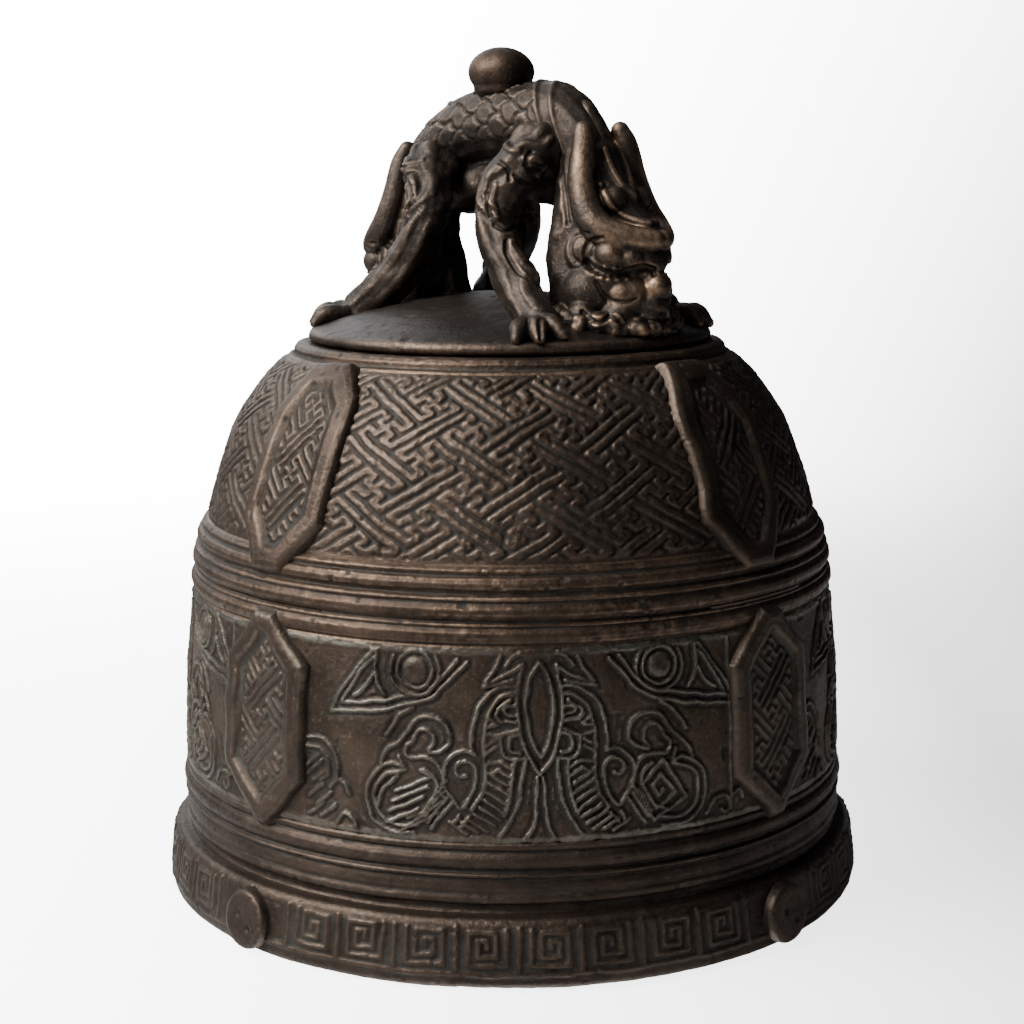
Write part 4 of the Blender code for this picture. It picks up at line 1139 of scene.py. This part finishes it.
ROCKS = (((26.4, 12.0, 113.4), 2.5), ((29.6, 11.8, 112.8), 2.4), ((32.2, 9.8, 113.0), 2.6),
         ((35.0, 7.6, 112.6), 2.5), ((37.0, 4.6, 112.4), 2.2), ((38.0, 1.4, 112.2), 2.0),
         ((23.4, 10.8, 114.2), 2.2), ((28.2, 9.4, 114.6), 3.0), ((33.4, 5.0, 114.0), 3.6))
PEARL = ((38.4, 0, 120.2), 2.6)
MOUTH = (((13.8, 124.2), (16.3, 122.9), (20.0, 122.3), (23.7, 123.3), (26.0, 122.9)),)
CREASES = (((13.9, 129.8), (11.8, 129.2), (10.9, 127.4), (11.1, 125.6), (12.1, 124.4)),
           ((16.6, 129.0), (14.8, 128.5), (13.7, 127.0), (13.5, 125.4), (14.3, 124.2)),
           ((15.4, 120.8), (17.4, 118.0), (20.6, 117.2), (23.0, 118.2)),
           ((9.4, 146.0), (9.8, 138.0), (10.6, 131.6)),
           ((13.0, 115.6), (15.6, 113.8), (18.4, 114.6), (21.0, 113.2)))
WRINKLES = (((16.6, 138.6), (18.2, 135.4), (20.2, 133.4), (22.6, 132.2), (25.6, 131.6)),
            ((17.6, 145.0), (18.8, 141.6), (20.8, 138.6), (23.4, 136.4), (26.0, 134.4)))
TEETH = ((15.2, 122.6), (16.6, 122.0), (18.0, 121.8), (19.6, 121.6), (21.2, 121.8), (17.2, 123.6),
         (19.0, 123.4))
BROW_LINE = ((13.4, 150), (13.5, 143), (13.2, 139), (14.2, 134), (17.0, 130.6), (28.0, 128.6))
CHEEKS = ((18.6, 126.2), (20.0, 118.6))
WEST_HEAD_SHIFT = (0.8, 0, -3.2)

head_clay = []
for stations in HEAD_MASS + CREST:
    head_clay += rod(stations)
for hand in (1, -1):
    head_clay += rod([(x, y * hand, z, r) for x, y, z, r in BROW_RIDGE])
    for (x, y, z), radius in FACE_LUMPS + ROCKS:
        head_clay.append(knob((x, y * hand, z), radius))
head_clay.append(knob(*PEARL))
head = massed("dragon_head_east_cast", head_clay, 0.30, 4)
place, facing = vertex_rows(head)
folded = place * (1, -1, 1)
folded[:, 1] = -np.abs(place[:, 1])
side, up = corner_view(folded)
outward = step_up(facing[:, 0] * 0.7 + np.abs(facing[:, 1]) * 0.7, 0.1, 0.5)
height = -1.25 * near_strokes(side, up, [curve_through(s) for s in MOUTH], 0.8) * outward
height -= 0.55 * near_strokes(side, up, [curve_through(s) for s in CREASES], 0.42) * outward
height += 0.60 * near_strokes(side, up, [curve_through(s) for s in WRINKLES], 0.55) * outward
for x, z in TEETH:
    height += 0.55 * np.exp(-((side - x) ** 2 + (up - z) ** 2) / 0.22) * outward
brow = near_strokes(side, up, [BROW_LINE], 1.8)
height += rough_skin(place, 0.9) * (1 - 0.75 * brow)
rocky = step_up(116.2 - place[:, 2], 0, 2.0)
height += rocky * lumps(place * MM, 2.2 * MM, 41) * 0.7
height += rocky * np.abs(lumps(place * MM, 1.3 * MM, 42)) * 0.35
behind = step_up(24.5 - place[:, 0], 0, 3)
height += behind * lumps(place * MM, 2.4 * MM, 43) * 0.35
push(head, height)
west_head = reflected(head, "dragon_head_west_cast", True, False, WEST_HEAD_SHIFT)
# The east head's brow ridge, nose and cheeks carry a much brighter worn colour: partly rubbed wear,
# partly a painted highlight standing in for the sheen along the brow.
brow_highlight_bronze = bronze("rubbed_brow_painted_highlight_bronze", patina=(0.030, 0.025, 0.022), warm=(0.062, 0.048, 0.039),
                     worn=(0.480, 0.320, 0.210), verdigris=(0.040, 0.038, 0.034), green=0.10)
dress(head, brow_highlight_bronze, "root", "dragon_bronze", "dragon_head_east", relief_scale=0.34)
dress(west_head, dragon_bronze, "root", "dragon_bronze", "dragon_head_west", relief_scale=0.34)
# Marks for the rubbed wear and painted highlight; the west head gets them at half strength in the plain
# dragon bronze.
nose = np.clip(1 - np.hypot(folded[:, 0] - PEARL[0][0], up - PEARL[0][2]) / 3.0, 0, 1)
cheek = sum(np.clip(1.4 - np.hypot(side - x, up - z) / 2.2, 0, 1) for x, z in CHEEKS)
rubbed_and_highlit = np.clip(brow * (up < 150) + nose + 0.6 * cheek, 0, 1) * outward
rub_and_highlight(head, rubbed_and_highlit)
rub_and_highlight(west_head, rubbed_and_highlit * 0.5)

# ---- Clapper's staple
# A loop of forged iron wire, riveted to a round flange that screws into the crown's boss.
# The clapper's eye hangs on its lowest bend.
STAPLE_WIRE = ((0, -5, 110.4, 1.5), (0, -5, 101, 1.5), (0, -3.6, 97.4, 1.5), (0, 0, 96, 1.5),
               (0, 3.6, 97.4, 1.5), (0, 5, 101, 1.5), (0, 5, 110.4, 1.5))
staple_clay = rod(STAPLE_WIRE, 6)
staple_clay.append(knob((0, 0, 110.0), 7.0, (1, 1, 0.13)))
staple_clay.append(knob((0, 0, 113.0), 2.0))
staple = massed("forged_staple", staple_clay, 0.28, 4)
push(staple, rough_skin(vertex_rows(staple)[0], 0.5))
iron = bronze("forged_black_iron", patina=(0.030, 0.028, 0.027), warm=(0.060, 0.052, 0.047),
              worn=(0.22, 0.20, 0.18), verdigris=(0.10, 0.05, 0.03), green=0.3)
dress(staple, iron, "root", "black_iron", "clapper_staple")

# ---- Clapper
# An iron rod with an eye bent round the staple and a heavy forged ball on its lower end,
# which swings against the thick ring of the lip.
CLAPPER_ROD = ((0, 0, 92.2, 1.8), (0, 0, 60, 1.8), (0, 0, 22, 1.8))
rod_clay = rod(CLAPPER_ROD, 12)
bpy.ops.object.select_all(action="DESELECT")
bpy.ops.mesh.primitive_torus_add(major_radius=3.7 * MM, minor_radius=1.4 * MM, major_segments=64,
                                 minor_segments=20, location=(0, 0, 95.6 * MM),
                                 rotation=(math.radians(90), 0, 0))
bpy.ops.object.transform_apply(location=True, rotation=True, scale=True)
rod_clay.append(bpy.context.object)
clapper_rod = massed("forged_clapper_rod", rod_clay, 0.30, 3)
push(clapper_rod, rough_skin(vertex_rows(clapper_rod)[0], 0.6))
dress(clapper_rod, iron, "clapper", "black_iron", "clapper_rod")
ball_clay = [knob((0, 0, 22.0), 10.5), knob((0, 0, 31.4), 2.9, (1, 1, 0.7))]
clapper_ball = massed("forged_clapper_ball", ball_clay, 0.42, 3)
push(clapper_ball, rough_skin(vertex_rows(clapper_ball)[0], 0.9) - 0.15)
dress(clapper_ball, iron, "clapper", "black_iron", "clapper_ball")
